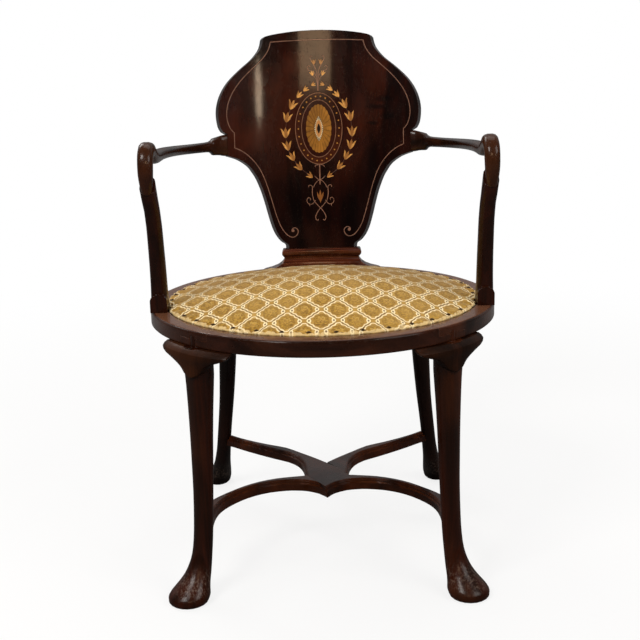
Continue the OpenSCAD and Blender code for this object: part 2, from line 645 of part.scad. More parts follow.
// a point given in the back's own leaning frame, from the hollow's axis
function from_back(v) =
  [v[0], back_y + (v[1] - back_r)*cos(back_lean) + v[2]*sin(back_lean),
    back_z - (v[1] - back_r)*sin(back_lean) + v[2]*cos(back_lean)];
stub_a = stub_s/back_r*180/PI;
stub_e = [back_r*sin(stub_a), back_r*cos(stub_a), 0];
cut_d = [sin(edge_turn), cos(edge_turn), 0];
cut_n = [cos(edge_turn), -sin(edge_turn), 0];
arm_zc = (stub_z0 + stub_z1)/2;
arm_hh = (stub_z1 - stub_z0)/2 - 0.3;
function stub_ring(out, a, b, e, dz) =
  [for (i = [0:15]) let (t = 360*(i + 0.5)/16)
    from_back(stub_e + cut_n*out + cut_d*(back_t*0.52 + a*sgnpow(cos(t), 2/e))
      + [0, 0, arm_zc + dz + b*sgnpow(sin(t), 2/e)])];
module arm_body() {
  loft(concat(
    [stub_ring(0, back_t/2 - 0.6, arm_hh, 5, 0), stub_ring(6, back_t/2 - 0.4, arm_hh - 0.3, 4.4, 0),
     stub_ring(12, back_t/2, arm_hh - 1.6, 4, -0.2)],
    [for (q = spline(arm_st, 2)) arm_ring(q)]));
}
// two dowels in each arm joint
module arm_dowel_pair(left) {
  mirrored(left) lean_back() for (k = [-1, 1])
    translate(stub_e + cut_d*(back_t*0.54) + [0, 0, arm_zc + k*9]) rotate([0, 0, -edge_turn])
      rotate([0, 90, 0]) translate([0, 0, -13]) cylinder(r = 3.5, h = 26, $fn = 24);
}
module arm(left) {
  difference() {
    mirrored(left) arm_body();
    arm_dowel_pair(left);
    crook_dowel(left);
  }
}
// dowel through the scarf between the crook and the post
scarf_p = [arm_x + 0.8, -115, 606 + arm_k];
module crook_dowel(left) {
  mirrored(left) translate(scarf_p + [0, 2, 2]) rotate([45, 0, 0])
    translate([0, 0, -9]) cylinder(r = 3.5, h = 18, $fn = 24);
}

// arm posts
// the posts stand on the rim of the seat
post_x = seat_r - 21.5;
// height, forward, out, width, depth, squareness
post_st = [
  [seat_h, -60, post_x, post_w + 2, 38, 4],
  [seat_h + 6, -59.6, post_x, post_w + 1.6, 36, 3.8],
  [seat_h + 16, -59, post_x, post_w + 0.4, 31, 3.6],
  [seat_h + 30, -60.5, post_x, post_w - 0.6, 26, 3.4],
  [seat_h + 48, -64, post_x - 0.4, post_w - 1.2, 23.6, 3.2],
  [seat_h + 75, -71, post_x - 1, post_w - 1.8, 23, 3],
  [seat_h + 105, -80, arm_x - 2.5, post_w - 2.4, 23, 2.9],
  [seat_h + 135, -90, arm_x - 3, post_w - 2.8, 23, 2.8],
  [seat_h + 160, -99.5, arm_x - 2.6, post_w - 3, 23.2, 2.8]];
function post_ring(q) =
  ring([q[2], q[1], q[0]], [1, 0, 0], [0, 1, 0], q[3]/2, q[4]/2, q[5], 16);
module post_body() {
  // the last two rings tip into the plane of the scarf
  u1 = unit([0, 1, 0.45]);
  u2 = unit([0, 1, 1]);
  loft(concat([for (q = spline(post_st, 2)) post_ring(q)],
    [ring([arm_x - 1.4, -106.2, 589 + arm_k], [1, 0, 0], u1, 11.6, 12.6, 2.9, 16),
     ring([arm_x + 0.4, -110.5, 610.5 + arm_k], [1, 0, 0], u2, 11.6, 16.4, 3, 16)]));
}
module post_foot() {
  // arched block at the foot
  w = post_w;
  translate([post_x, -66, seat_h]) rotate([90, 0, 0]) linear_extrude(14.5)
    polygon([[-w/2, 0], [w/2, 0], [w/2, 19], [w*0.44, 23], [w*0.32, 26], [w*0.16, 27.6],
      [0, 28.2], [-w*0.16, 27.6], [-w*0.32, 26], [-w*0.44, 23], [-w/2, 19]]);
}
module post_tenon() {
  translate([post_x, -60, seat_h - 16]) translate([-7, -11, 0]) cube([14, 22, 16 + fine]);
}
module post_screw_hole() {
  translate([post_x, -60, seat_z0 - 1]) cylinder(r = 2.2, h = rail_t + 30, $fn = 24);
  translate([post_x, -60, seat_z0 - 1]) cylinder(r = 4.4, h = 5.4, $fn = 24);
}
module arm_post(left) {
  difference() {
    mirrored(left) difference() {
      union() {
        post_body();
        post_foot();
        post_tenon();
      }
      post_screw_hole();
    }
    crook_dowel(left);
  }
}

// seat
pad_r = rebate_r - 4;
function pad_z(r) = seat_h + 3 + (crown_h - 3)*(1 - pow(r/pad_r, 1.7));
module pad_cut(gap) {
  // room for the shoe and the feet of the arm posts
  translate([0, back_y - back_r, rebate_z - 1]) rotate([0, 0, 50])
    rotate_extrude(angle = 80, $fn = 180) translate([back_r - 12 - gap, 0]) square([60, 80]);
  for (s = [-1, 1]) translate([s*post_x - post_w/2 - 1.2 - gap, -83 - gap, rebate_z - 1])
    cube([post_w + 2.4 + 2*gap, 42 + 2*gap, 80]);
}
module pad_solid(inset, down) {
  steps = 14;
  rotate_extrude($fn = 96)
    polygon(concat([[0, rebate_z], [pad_r - inset, rebate_z]],
      [for (i = [steps:-1:0]) let (r = (pad_r - inset)*sin(90*i/steps))
        [r, pad_z(r) - down]]));
}
module webbing_flat() {
  strap = pad_r*0.206;
  for (i = [-2:2]) {
    translate([-pad_r, i*pad_r*0.32 - strap/2, rebate_z]) cube([2*pad_r, strap, 1]);
    translate([i*pad_r*0.32 - strap/2, -pad_r, rebate_z + 1]) cube([strap, 2*pad_r, 1]);
  }
}

module webbing_body() {
  intersection() {
    webbing_flat();
    cylinder(r = pad_r - 10.8, h = 600, $fn = 96);
  }
}
module tack_heads() {
  r = pad_r - 5;
  for (i = [0:38]) {
    a = 360*(i + 0.5)/39;
    x = r*sin(a);
    y = -r*cos(a);
    if (y < 212 && !(abs(x) > 220 && y > -92 && y < -32))
      translate([x, y, pad_z(r) - 0.4]) {
        intersection() {
          translate([0, 0, -2.6]) sphere(r = 4.4, $fn = 24);
          cylinder(r = 5, h = 5, $fn = 24);
        }
        translate([0, 0, -12]) cylinder(r1 = 0.3, r2 = 0.9, h = 12 + fine, $fn = 16);
      }
  }
}

// every sub-part is set so that the chair's middle stands on the origin
module set() translate([0, -mid_y, 0]) children();

module front_rail() color([0.24, 0.09, 0.05]) set() end_rail(0, front_angle);
module back_rail() color([0.24, 0.09, 0.05]) set() end_rail(180, back_angle);
module left_rail() color([0.25, 0.1, 0.055]) set() side_rail(true);
module right_rail() color([0.25, 0.1, 0.055]) set() side_rail(false);
module front_left_leg() color([0.22, 0.08, 0.045]) set() front_leg(-1);
module front_right_leg() color([0.22, 0.08, 0.045]) set() front_leg(1);
module back_left_leg() color([0.2, 0.075, 0.04]) set() back_leg(-1);
module back_right_leg() color([0.2, 0.075, 0.04]) set() back_leg(1);
module front_left_knee() color([0.3, 0.13, 0.07]) set() front_knee(-1);
module front_right_knee() color([0.3, 0.13, 0.07]) set() front_knee(1);
module stretcher_left() color([0.22, 0.09, 0.05]) set() stretcher(true);
module stretcher_right() color([0.22, 0.09, 0.05]) set() stretcher(false);
module stretcher_screw() color([0.75, 0.6, 0.3]) set()
  translate([0, -4, stretcher_z]) wood_screw(stretcher_t - 4, 2.2, 4.4);
module back_shoe() color([0.26, 0.1, 0.055]) set() back_shoe_body();
module back_panel() color([0.2, 0.075, 0.045]) set() back_panel_body();
module face_veneer() color([0.24, 0.08, 0.05]) set() difference() {
  lean_back() back_shape(back_r, back_r + veneer_t);
  lean_back() rotate([90, 0, 0]) translate([0, 0, -back_r - 20]) linear_extrude(80) {
    all_marquetry();
    string_flat(string_w);
  }
}
module stringing() color([0.72, 0.55, 0.35]) set() laid() string_flat(string_w);
module patera_lines() color([0.7, 0.5, 0.28]) set() laid() {
  difference() { oval2(pat_a, pat_b); oval2(pat_a - 1.1, pat_b - 1.1); }
  difference() { oval2(30.8, 50.6); oval2(29.8, 49.6); }
}
module patera_band() color([0.3, 0.12, 0.06]) set() laid() difference() {
  oval2(pat_a - 1.1, pat_b - 1.1);
  oval2(30.8, 50.6);
  dots_flat();
}
module patera_dots() color([0.85, 0.6, 0.2]) set() laid() dots_flat();
module patera_ground() color([0.26, 0.1, 0.05]) set() laid() difference() {
  oval2(29.8, 49.6);
  petal_edge();
}
module patera_petals() color([0.8, 0.52, 0.2]) set() laid() difference() {
  petal_edge();
  lozenge(1);
}
module patera_lozenge() color([0.92, 0.8, 0.6]) set() laid() difference() {
  lozenge(1);
  lozenge(0.4);
}
module patera_eye() color([0.06, 0.03, 0.02]) set() laid() lozenge(0.4);
module wreath_leaves() color([0.87, 0.58, 0.25]) set() laid() wreath_flat();
module wreath_stems() color([0.7, 0.5, 0.32]) set() laid() stems_flat();
module left_arm() color([0.24, 0.1, 0.055]) set() arm(true);
module right_arm() color([0.24, 0.1, 0.055]) set() arm(false);
module left_arm_post() color([0.22, 0.085, 0.05]) set() arm_post(true);
module right_arm_post() color([0.22, 0.085, 0.05]) set() arm_post(false);
module arm_dowels() color([0.75, 0.6, 0.42]) set() {
  for (left = [false, true]) {
    arm_dowel_pair(left);
    crook_dowel(left);
  }
}
module post_screws() color([0.5, 0.5, 0.5]) set() for (s = [-1, 1])
  translate([s*post_x, -60, seat_z0 + 0.8]) wood_screw(rail_t + 28, 2.2, 4.4);
module shoe_screws() color([0.5, 0.5, 0.5]) set() for (s = [-1, 1])
  shoe_screw_at(s) translate([0, 0, seat_z0 + 0.2]) wood_screw(rail_t + 12, 2.5, 5);
module seat_webbing() color([0.62, 0.5, 0.34]) set() webbing_body();
module seat_stuffing() color([0.8, 0.75, 0.62]) set() difference() {
  pad_solid(7, 1.6);
  translate([0, 0, rebate_z - 1]) cylinder(r = 600, h = 3);
  pad_cut(2.2);
}
module seat_cover() color([0.72, 0.58, 0.28]) set() difference() {
  pad_solid(0, 0);
  pad_cut(0.3);
  difference() {
    pad_solid(7, 1.6);
    pad_cut(2.2);
  }
}
module cover_tacks() color([0.2, 0.15, 0.1]) set() tack_heads();

front_rail();
back_rail();
left_rail();
right_rail();
front_left_leg();
front_right_leg();
back_left_leg();
back_right_leg();
front_left_knee();
front_right_knee();
stretcher_left();
stretcher_right();
stretcher_screw();
back_shoe();
back_panel();
face_veneer();
stringing();
patera_lines();
patera_band();
patera_dots();
patera_ground();
patera_petals();
patera_lozenge();
patera_eye();
wreath_leaves();
wreath_stems();
left_arm();
right_arm();
left_arm_post();
right_arm_post();
arm_dowels();
post_screws();
shoe_screws();
seat_webbing();
seat_stuffing();
seat_cover();
cover_tacks();
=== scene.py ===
import math

import bpy
import numpy as np
from mathutils import Matrix, Vector


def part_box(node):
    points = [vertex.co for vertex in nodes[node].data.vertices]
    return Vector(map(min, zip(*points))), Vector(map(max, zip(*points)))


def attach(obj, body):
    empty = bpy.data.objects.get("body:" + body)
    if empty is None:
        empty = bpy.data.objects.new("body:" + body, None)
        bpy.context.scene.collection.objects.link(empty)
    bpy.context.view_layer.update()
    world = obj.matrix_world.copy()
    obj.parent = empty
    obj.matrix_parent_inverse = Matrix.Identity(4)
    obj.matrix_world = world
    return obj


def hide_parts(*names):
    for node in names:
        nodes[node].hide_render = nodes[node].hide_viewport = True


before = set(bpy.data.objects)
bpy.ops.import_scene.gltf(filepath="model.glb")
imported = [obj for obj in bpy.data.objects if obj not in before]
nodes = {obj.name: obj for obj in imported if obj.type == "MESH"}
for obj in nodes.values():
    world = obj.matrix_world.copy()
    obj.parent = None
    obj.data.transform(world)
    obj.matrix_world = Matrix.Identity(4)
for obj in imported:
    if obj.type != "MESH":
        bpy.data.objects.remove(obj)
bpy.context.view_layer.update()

# All lengths are in metres. The cushion is drawn round the seat's centre and then moved by SEAT_Y.
SEAT_Y = -0.0244847                      # the seat's centre in the row frame
SEAT_Z = 0.410                           # top of the rail
REBATE_TOP, HEM_UNDER = 0.4106, 0.40825  # underside of the pad, and of the hem that lies on the rebate
PAD_R, PAD_LIP, PAD_CROWN, PAD_FALL = 0.243, 0.003, 0.037, 1.7
PUCKERS = 39                             # tacks round a full circle
TACK_R = 0.238
COVER_R, SCALLOP = 0.2444, 0.0016        # the cover's edge, and how far it swells between two tacks
SHOE_BACK, SHOE_R = 0.153, 0.3868        # the arc of the shoe's front, which cuts the cover off
POST_X, POST_FRONT, POST_BACK, POST_SOFT = 0.2343, -0.0845, -0.0395, 0.0012
NO_TACK_BEHIND = 0.212                   # the shoe covers the edge from here on
NO_TACK_BESIDE = 0.220, -0.092, -0.032   # a post's foot: past this X, between these Y
PUFF, DIP, CREASE, FOLD = 0.0022, 0.0014, 0.0005, 0.00055
TACK_DENT = 0.0056, 0.0005               # radius of the flat spot under a tack's head, and its depth
TINY = 1e-9


# ---------- small node-tree language ----------
class Val:
    """A number in a material's node tree, so that patterns read as formulas."""

    def __init__(self, tree, socket):
        self.tree, self.socket = tree, socket

    def math(self, kind, *others):
        n = self.tree.nodes.new("ShaderNodeMath")
        n.operation = kind
        for i, a in enumerate((self,) + others):
            if isinstance(a, Val):
                self.tree.links.new(a.socket, n.inputs[i])
            else:
                n.inputs[i].default_value = float(a)
        return Val(self.tree, n.outputs[0])

    def __add__(self, o):
        return self.math("ADD", o)

    def __sub__(self, o):
        return self.math("SUBTRACT", o)

    def __rsub__(self, o):
        return self * -1.0 + o

    def __mul__(self, o):
        return self.math("MULTIPLY", o)

    def __truediv__(self, o):
        return self.math("DIVIDE", o)

    def __pow__(self, o):
        return self.math("POWER", o)

    __radd__ = __add__

    def abs(self):
        return self.math("ABSOLUTE")

    def sin(self):
        return self.math("SINE")

    def fract(self):
        return self.math("FRACT")

    def sqrt(self):
        return self.math("SQRT")

    def min(self, o):
        return self.math("MINIMUM", o)

    def max(self, o):
        return self.math("MAXIMUM", o)

    def less(self, o):
        return self.math("LESS_THAN", o)

    def atan2(self, o):
        return self.math("ARCTAN2", o)

    def step(self, a, b, lo=0.0, hi=1.0):
        """lo before a, hi after b, smooth between."""
        n = self.tree.nodes.new("ShaderNodeMapRange")
        n.interpolation_type = "SMOOTHSTEP"
        self.tree.links.new(self.socket, n.inputs["Value"])
        for k, v in (("From Min", a), ("From Max", b), ("To Min", lo), ("To Max", hi)):
            n.inputs[k].default_value = v
        return Val(self.tree, n.outputs[0])

    def band(self, a, b, soft):
        """1 between a and b."""
        return self.step(a - soft, a + soft) * self.step(b - soft, b + soft, 1.0, 0.0)


def separate(tree, vector):
    n = tree.nodes.new("ShaderNodeSeparateXYZ")
    tree.links.new(vector, n.inputs[0])
    return [Val(tree, n.outputs[i]) for i in range(3)]


def radius(u, v):
    return (u * u + v * v).sqrt()


def srgb(r, g, b):
    def lin(v):
        v /= 255
        return v / 12.92 if v <= 0.04045 else ((v + 0.055) / 1.055) ** 2.4
    return (lin(r), lin(g), lin(b), 1.0)


def brighter(colour, gains):
    return srgb(*(min(c * g, 255) for c, g in zip(colour, gains)))


class Paint:
    """One procedural material."""

    def __init__(self, name):
        self.mat = bpy.data.materials.new(name)
        self.mat.use_nodes = True
        self.tree = self.mat.node_tree
        self.bsdf = self.tree.nodes["Principled BSDF"]
        self.coord = self.tree.nodes.new("ShaderNodeTexCoord").outputs["Object"]

    def xyz(self, vec=None):
        return separate(self.tree, vec or self.coord)

    def mapped(self, scale=(1, 1, 1), turn=(0, 0, 0), move=(0, 0, 0), vec=None):
        n = self.tree.nodes.new("ShaderNodeMapping")
        self.tree.links.new(vec or self.coord, n.inputs["Vector"])
        n.inputs["Scale"].default_value = scale
        n.inputs["Rotation"].default_value = turn
        n.inputs["Location"].default_value = move
        return n.outputs[0]

    def noise(self, scale=1, detail=3.0, rough=0.5, warp=0.0, move=(0, 0, 0), vec=None):
        """Noise at a scale per metre, one number or one for each axis, or over a vector that is given."""
        if vec is None:
            vec = self.mapped(scale if isinstance(scale, tuple) else (scale,) * 3, move=move)
        n = self.tree.nodes.new("ShaderNodeTexNoise")
        self.tree.links.new(vec, n.inputs["Vector"])
        n.inputs["Scale"].default_value = 1.0
        n.inputs["Detail"].default_value = detail
        n.inputs["Roughness"].default_value = rough
        n.inputs["Distortion"].default_value = warp
        return Val(self.tree, n.outputs[0])

    def mix(self, f, a, b):
        n = self.tree.nodes.new("ShaderNodeMix")
        n.data_type = "RGBA"
        if isinstance(f, Val):
            self.tree.links.new(f.socket, n.inputs["Factor"])
        else:
            n.inputs["Factor"].default_value = f
        for name, v in (("A", a), ("B", b)):
            s = [i for i in n.inputs if i.name == name and i.type == "RGBA"][0]
            if isinstance(v, tuple):
                s.default_value = v
            else:
                self.tree.links.new(v, s)
        return [o for o in n.outputs if o.type == "RGBA"][0]

    def dim(self, f, colour):
        """The colour times a grey."""
        n = self.tree.nodes.new("ShaderNodeVectorMath")
        n.operation = "SCALE"
        self.tree.links.new(colour, n.inputs[0])
        self.tree.links.new(f.socket, n.inputs["Scale"])
        return n.outputs[0]

    def colour(self, socket):
        self.tree.links.new(socket, self.bsdf.inputs["Base Color"])

    def rough(self, v):
        if isinstance(v, Val):
            self.tree.links.new(v.socket, self.bsdf.inputs["Roughness"])
        else:
            self.bsdf.inputs["Roughness"].default_value = v

    def set(self, **values):
        for k, v in values.items():
            self.bsdf.inputs[k.replace("_", " ")].default_value = v

    def bump(self, height, depth, strength=1.0, under=None):
        n = self.tree.nodes.new("ShaderNodeBump")
        n.inputs["Strength"].default_value = strength
        n.inputs["Distance"].default_value = depth
        self.tree.links.new(height.socket, n.inputs["Height"])
        if under is not None:
            self.tree.links.new(under, n.inputs["Normal"])
        self.tree.links.new(n.outputs[0], self.bsdf.inputs["Normal"])
        self.tree.links.new(n.outputs[0], self.bsdf.inputs["Coat Normal"])
        return n.outputs[0]

    def eased_edges(self, size):
        """Shading normal with the arrises eased, and a 0..1 mark along them."""
        n = self.tree.nodes.new("ShaderNodeBevel")
        n.samples = 4
        n.inputs["Radius"].default_value = size
        g = self.tree.nodes.new("ShaderNodeNewGeometry")
        d = self.tree.nodes.new("ShaderNodeVectorMath")
        d.operation = "DOT_PRODUCT"
        self.tree.links.new(n.outputs[0], d.inputs[0])
        self.tree.links.new(g.outputs["Normal"], d.inputs[1])
        return n.outputs[0], Val(self.tree, d.outputs["Value"]).step(0.995, 0.80)


# ---------- wood ----------
COAT_ROUGH = 0.08
WOOD_SPECULAR, INLAY_SPECULAR = 0.09, 0.13
INLAY_COAT, INLAY_GLOSS, INLAY_EDGE = 0.35, 0.3, 0.00035
PORES = 0.6                              # how dark and deep the pores are
TOP_FACE_Z = (0.4092, 0.4099)              # the rail's top face, paler: rubbed, and a painted reflection of the bright room above
# colours: the rail's top, rubbed and with a painted reflection; the feet's scuffed patches with a painted sheen; the
# dark glue line
TOP_WEAR_AND_REFLECTION_COLOUR, SCUFF_AND_SHEEN_COLOUR, GLUE_LINE = srgb(112, 73, 52), srgb(132, 112, 100), srgb(38, 16, 10)


def wood(name, deep, mid, warm, grain="Z", turn=0.0, gloss=0.26, figure=0.5, edge=0.0012, edge_rub_and_highlight=0.5,
         seed=0.0, coat=0.32, blots=(), top_wear_and_reflection=0.0, scuff_and_sheen=0.0, low_end_painted_shade=None):
    """Polished mahogany: ribbon figure, fine dark pores along the grain, rubbed edges that also serve as painted
    highlights where set strong, hand polish.

    blots are dark stains (x, z, half width, half height), and the low-end painted shade, (z low, z high, share),
    darkens the low end, where less light falls.
    """
    p = Paint(name)
    turned = p.mapped(turn=(0, 0, math.radians(turn)), move=(seed, seed * 0.7, seed * 1.3))

    def along(across, length, **more):
        """Noise drawn out along the grain."""
        scale = [across] * 3
        scale["XYZ".index(grain)] = length
        return p.noise(vec=p.mapped(scale=tuple(scale), vec=turned), **more)
    ribbon = along(34, 2.2, detail=5, rough=0.62, warp=0.5)
    fine = along(420, 9, rough=0.6)
    cloud = along(9, 5, warp=0.8)
    tone = p.mix(ribbon.step(0.34, 0.68), srgb(*deep), srgb(*mid))
    tone = p.mix(cloud.step(0.42, 0.74) * figure, tone, srgb(*warm))
    tone = p.dim(fine.step(0.25, 0.75, 0.84, 1.14), tone)
    dash = along(1500, 95, detail=2).step(0.63, 0.70) * along(60, 12, detail=2).step(0.35, 0.6)
    tone = p.dim(dash.step(0.0, 1.0, 1.0, 1.0 - 0.55 * PORES), tone)
    x, _, z = p.xyz()
    swirl = (p.noise(60) - 0.5) * 0.012
    for bx, bz, rx, rz in blots:
        stain = radius((x - bx + swirl) / rx, (z - bz + swirl * 0.7) / rz)
        tone = p.dim(stain.step(0.2, 1.5, 0.35, 1.0), tone)
    # painted shade: the low end darkened, where less light falls
    if low_end_painted_shade:
        tone = p.dim(z.step(*low_end_painted_shade, 1.0), tone)
    # the rail's top face is painted paler: partly rubbed, partly a painted reflection of the bright room above
    if top_wear_and_reflection:
        face = z.step(*TOP_FACE_Z) * top_wear_and_reflection
        tone = p.mix(face * cloud.step(0.25, 0.7, 0.75, 1.0), tone, TOP_WEAR_AND_REFLECTION_COLOUR)
    ease, arris = p.eased_edges(edge)
    rub = p.noise(26, detail=4, rough=0.6, move=(seed, 3.1, 0))
    # paler arrises: rubbed polish, and where set strong, as on the shoe, painted highlights along the edges
    arris_wear_and_highlight = arris * rub.step(0.35, 0.65) * edge_rub_and_highlight
    tone = p.mix(arris_wear_and_highlight, tone, brighter(warm, (1.25, 1.3, 1.3)))
    # feet and lower legs are scuffed by shoes and brooms, rougher and bumped; the feet also get a painted highlight, a
    # pale scuffed sheen
    low = z.step(0.03, 0.12, scuff_and_sheen, scuff_and_sheen * 0.25)
    graze = p.noise((330, 330, 210), detail=4, rough=0.7, move=(seed, 0, 0))
    if scuff_and_sheen:
        # painted highlight: a pale sheen on the feet, laid in with their scuffed patches
        painted_scuff_sheen = graze.step(0.48, 0.64) * z.step(0.010, 0.026) * z.step(0.028, 0.058, 1.0, 0.0)
        tone = p.mix(painted_scuff_sheen * scuff_and_sheen * rub.step(0.3, 0.6, 0.15, 0.45), tone, SCUFF_AND_SHEEN_COLOUR)
    p.colour(tone)
    smear = p.noise((17, 17, 11), detail=5, rough=0.62, move=(1.7, seed, 0))
    polished = smear.step(0.3, 0.72, gloss - 0.06, gloss + 0.12)
    p.rough(polished + dash * 0.18 + arris_wear_and_highlight * 0.1 + low * graze.step(0.35, 0.65) * 0.09)
    p.set(Coat_Weight=coat, Coat_Roughness=COAT_ROUGH, Specular_IOR_Level=WOOD_SPECULAR)
    hand = p.noise((30, 30, 22), detail=2, rough=0.4, move=(seed, 0, 5.3))
    polish = p.bump(hand, 0.0005, 0.25, ease)
    p.bump(dash * PORES + graze * low * 2.2, 0.00014, 0.8, polish)
    return p


def inlay(name, light, shade, dark_at=None, heart=None):
    """Inlaid veneer: upright fibres, scorched shading and a dirty glue line round each piece."""
    p = Paint(name)
    light, shade = srgb(*light), srgb(*shade)
    fibre = p.noise((500, 500, 30), rough=0.6)
    patch = p.noise(95, rough=0.6)
    tone = p.mix(patch.step(0.35, 0.72), light, p.dim(patch.step(0, 1, 0.8, 0.95), p.mix(0.35, light, shade)))
    if heart is not None:
        colour, where = heart
        tone = p.mix(where(p), tone, srgb(*colour))
    if dark_at is not None:
        tone = p.mix(dark_at(p), tone, shade)
    tone = p.dim(fibre.step(0.25, 0.75, 0.85, 1.1), tone)
    _, arris = p.eased_edges(INLAY_EDGE)
    p.colour(p.mix(arris * 0.7, tone, GLUE_LINE))
    smear = p.noise((17, 17, 11), detail=5, rough=0.62, move=(1.7, 0, 0))
    p.rough(smear.step(0.3, 0.72, INLAY_GLOSS - 0.05, INLAY_GLOSS + 0.12))
    p.set(Coat_Weight=INLAY_COAT, Coat_Roughness=COAT_ROUGH, Specular_IOR_Level=INLAY_SPECULAR)
    hand = p.noise((30, 30, 22), detail=2, rough=0.4, move=(0, 0, 5.3))
    p.bump(fibre, 0.00004, 0.5, p.bump(hand, 0.0005, 0.25))
    return p


FRAME = (25, 7, 1), (54, 19, 5), (86, 41, 16)          # deep, mid and warm mahogany of the frame
RAIL = (25, 7, 1), (50, 23, 13), (84, 44, 25)
STAINS = ((0.118, 0.706, 0.016, 0.005), (0.104, 0.692, 0.020, 0.004),
          (0.122, 0.676, 0.012, 0.006), (0.096, 0.664, 0.010, 0.003))

paints = {
    "rail_x": wood("rail_wood_across", *RAIL, "X", figure=0.45, edge=0.0022, edge_rub_and_highlight=0.75, seed=0.3, top_wear_and_reflection=0.75),
    "rail_y": wood("rail_wood_along", *RAIL, "Y", figure=0.45, edge=0.0022, edge_rub_and_highlight=0.75, seed=1.1, top_wear_and_reflection=0.75),
    "leg": wood("leg_wood", *FRAME, figure=0.32, gloss=0.28, edge_rub_and_highlight=0.45, seed=2.2, scuff_and_sheen=1.0, coat=0.26),
    # the rear legs are the frame's mahogany painted darker: painted shade under the seat
    "leg_back_shaded": wood("rear_leg_wood_shaded", (12, 4, 2), (27, 10, 5), (46, 20, 10),
                     figure=0.45, gloss=0.3, edge_rub_and_highlight=0.4, seed=5.9, scuff_and_sheen=1.0, coat=0.2),
    "knee": wood("knee_wood", (22, 8, 2), (43, 19, 7), (73, 38, 16),
                 figure=0.7, gloss=0.42, edge_rub_and_highlight=0.6, seed=3.7, coat=0.06),
    "stretch_l": wood("stretcher_wood_left", *FRAME, "Y", turn=-42, edge=0.0016, edge_rub_and_highlight=0.7, seed=4.1),
    "stretch_r": wood("stretcher_wood_right", *FRAME, "Y", turn=42, edge=0.0016, edge_rub_and_highlight=0.7, seed=4.9),
    # the shoe's edges are rubbed paler so strongly that they stand as painted highlights along its mouldings
    "shoe": wood("shoe_wood", (40, 14, 7), (80, 35, 18), (128, 66, 38), "X",
                 gloss=0.2, edge=0.0026, edge_rub_and_highlight=1.5, seed=6.3, coat=0.9),
    "back": wood("back_wood", (15, 5, 3), (36, 13, 7), (56, 24, 13), figure=0.4, edge=0.0009, edge_rub_and_highlight=0.4, seed=7.7),
    # the face veneer: real stains, and painted shade darkening its low end
    "veneer": wood("face_veneer_wood", (15, 3, 1), (38, 10, 4), (74, 29, 11), figure=0.6, gloss=0.2, edge=0.0008,
                   edge_rub_and_highlight=0.3, seed=8.4, coat=0.5, low_end_painted_shade=(0.46, 0.66, 0.42), blots=STAINS),
    "arm": wood("arm_wood", (22, 9, 4), (46, 20, 9), (82, 44, 21), "Y", gloss=0.24, edge_rub_and_highlight=0.6, seed=9.6),
    "post": wood("post_wood", (20, 6, 2), (42, 14, 5), (68, 29, 12), gloss=0.25, edge_rub_and_highlight=0.6, seed=10.8, coat=0.26),
    "band": wood("patera_band_wood", (30, 9, 4), (56, 20, 9), (84, 38, 17),
                 gloss=0.2, edge=0.0003, edge_rub_and_highlight=0.2, seed=12.3, coat=0.5),
    "ground": wood("patera_ground_wood", (24, 6, 3), (46, 15, 7), (66, 26, 13),
                   figure=0.4, gloss=0.2, edge=0.0003, edge_rub_and_highlight=0.2, seed=13.1, coat=0.5),
    "dowel": wood("dowel_beech", (150, 112, 72), (182, 142, 96), (200, 160, 112), "Y",
                  figure=0.4, gloss=0.6, coat=0.0, edge_rub_and_highlight=0.0, edge=0.0004, seed=14.0),
}


# ---------- marquetry, shaded round the patera's centre ----------
low_corner, high_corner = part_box("patera_petals")
EYE = (low_corner + high_corner) / 2
PATERA = 0.0228, 0.0426                  # half axes along X and Z
WREATH = 0.0585, 0.083
LOZENGE_SHARE = 0.347, 0.512             # of the patera's half axes
PETALS, BEADS = 24, 26


def ellipse(p, axes):
    """The place as shares of an ellipse's half axes round the patera's centre."""
    x, _, z = p.xyz()
    return (x - EYE.x) / axes[0], (z - EYE.z) / axes[1]


def petal_shade(p):
    """Each petal darkens to one side, and all of them towards the middle."""
    u, v = ellipse(p, PATERA)
    r = radius(u, v)
    fan = (v.atan2(u) * (PETALS / math.tau) + 0.5).fract()
    lines = fan.step(0.0, 0.22, 1.0, 0.0) + fan.step(0.72, 1.0, 0.0, 0.45)
    middle = r.step(0.30, 0.55, 0.4, 0.0)
    side = (u - v * 0.4).step(-0.9, 0.4, 0.35, 0.0)
    return (lines * r.step(0.25, 0.6, 0.35, 0.75) + middle + side).min(0.9)


def leaf_shade(p):
    """Scorched towards the stem that the leaves spring from; duller above and below the wreath."""
    _, _, z = p.xyz()
    r = radius(*ellipse(p, WREATH))
    vein = p.noise((420, 60, 260), detail=2, rough=0.6)
    dull = (z - (EYE.z + 0.098)).step(0.0, 0.004, 0.0, 0.72) + (z - (EYE.z - 0.100)).step(-0.004, 0.0, 0.95, 0.0)
    return ((r - 1.0).abs().step(0.01, 0.085, 0.85, 0.0) + vein.step(0.50, 0.68) * 0.5).min(0.8).max(dull)


def lozenge_radius(u, v):
    return ((u / LOZENGE_SHARE[0]) ** 2.0 + (v / LOZENGE_SHARE[1]) ** 2.0).sqrt()


def pearl_shade(p):
    """Beads along the lozenge's edge."""
    u, v = ellipse(p, PATERA)
    bead = (v.atan2(u) * (BEADS / math.tau)).fract()
    return lozenge_radius(u, v).step(0.70, 0.82) * (bead - 0.5).abs().step(0.18, 0.34) * 0.95


def pearl_heart(p):
    """The lozenge's middle is darker satinwood."""
    return lozenge_radius(*ellipse(p, PATERA)).step(0.62, 0.74, 0.9, 0.0)


def stem_shade(p):
    """The stem that carries the leaves is a dark thread; the scrolls above and below it are pale."""
    u, v = ellipse(p, WREATH)
    return radius(u, v).band(0.86, 1.14, 0.02) * u.abs().step(0.10, 0.16) * 0.85


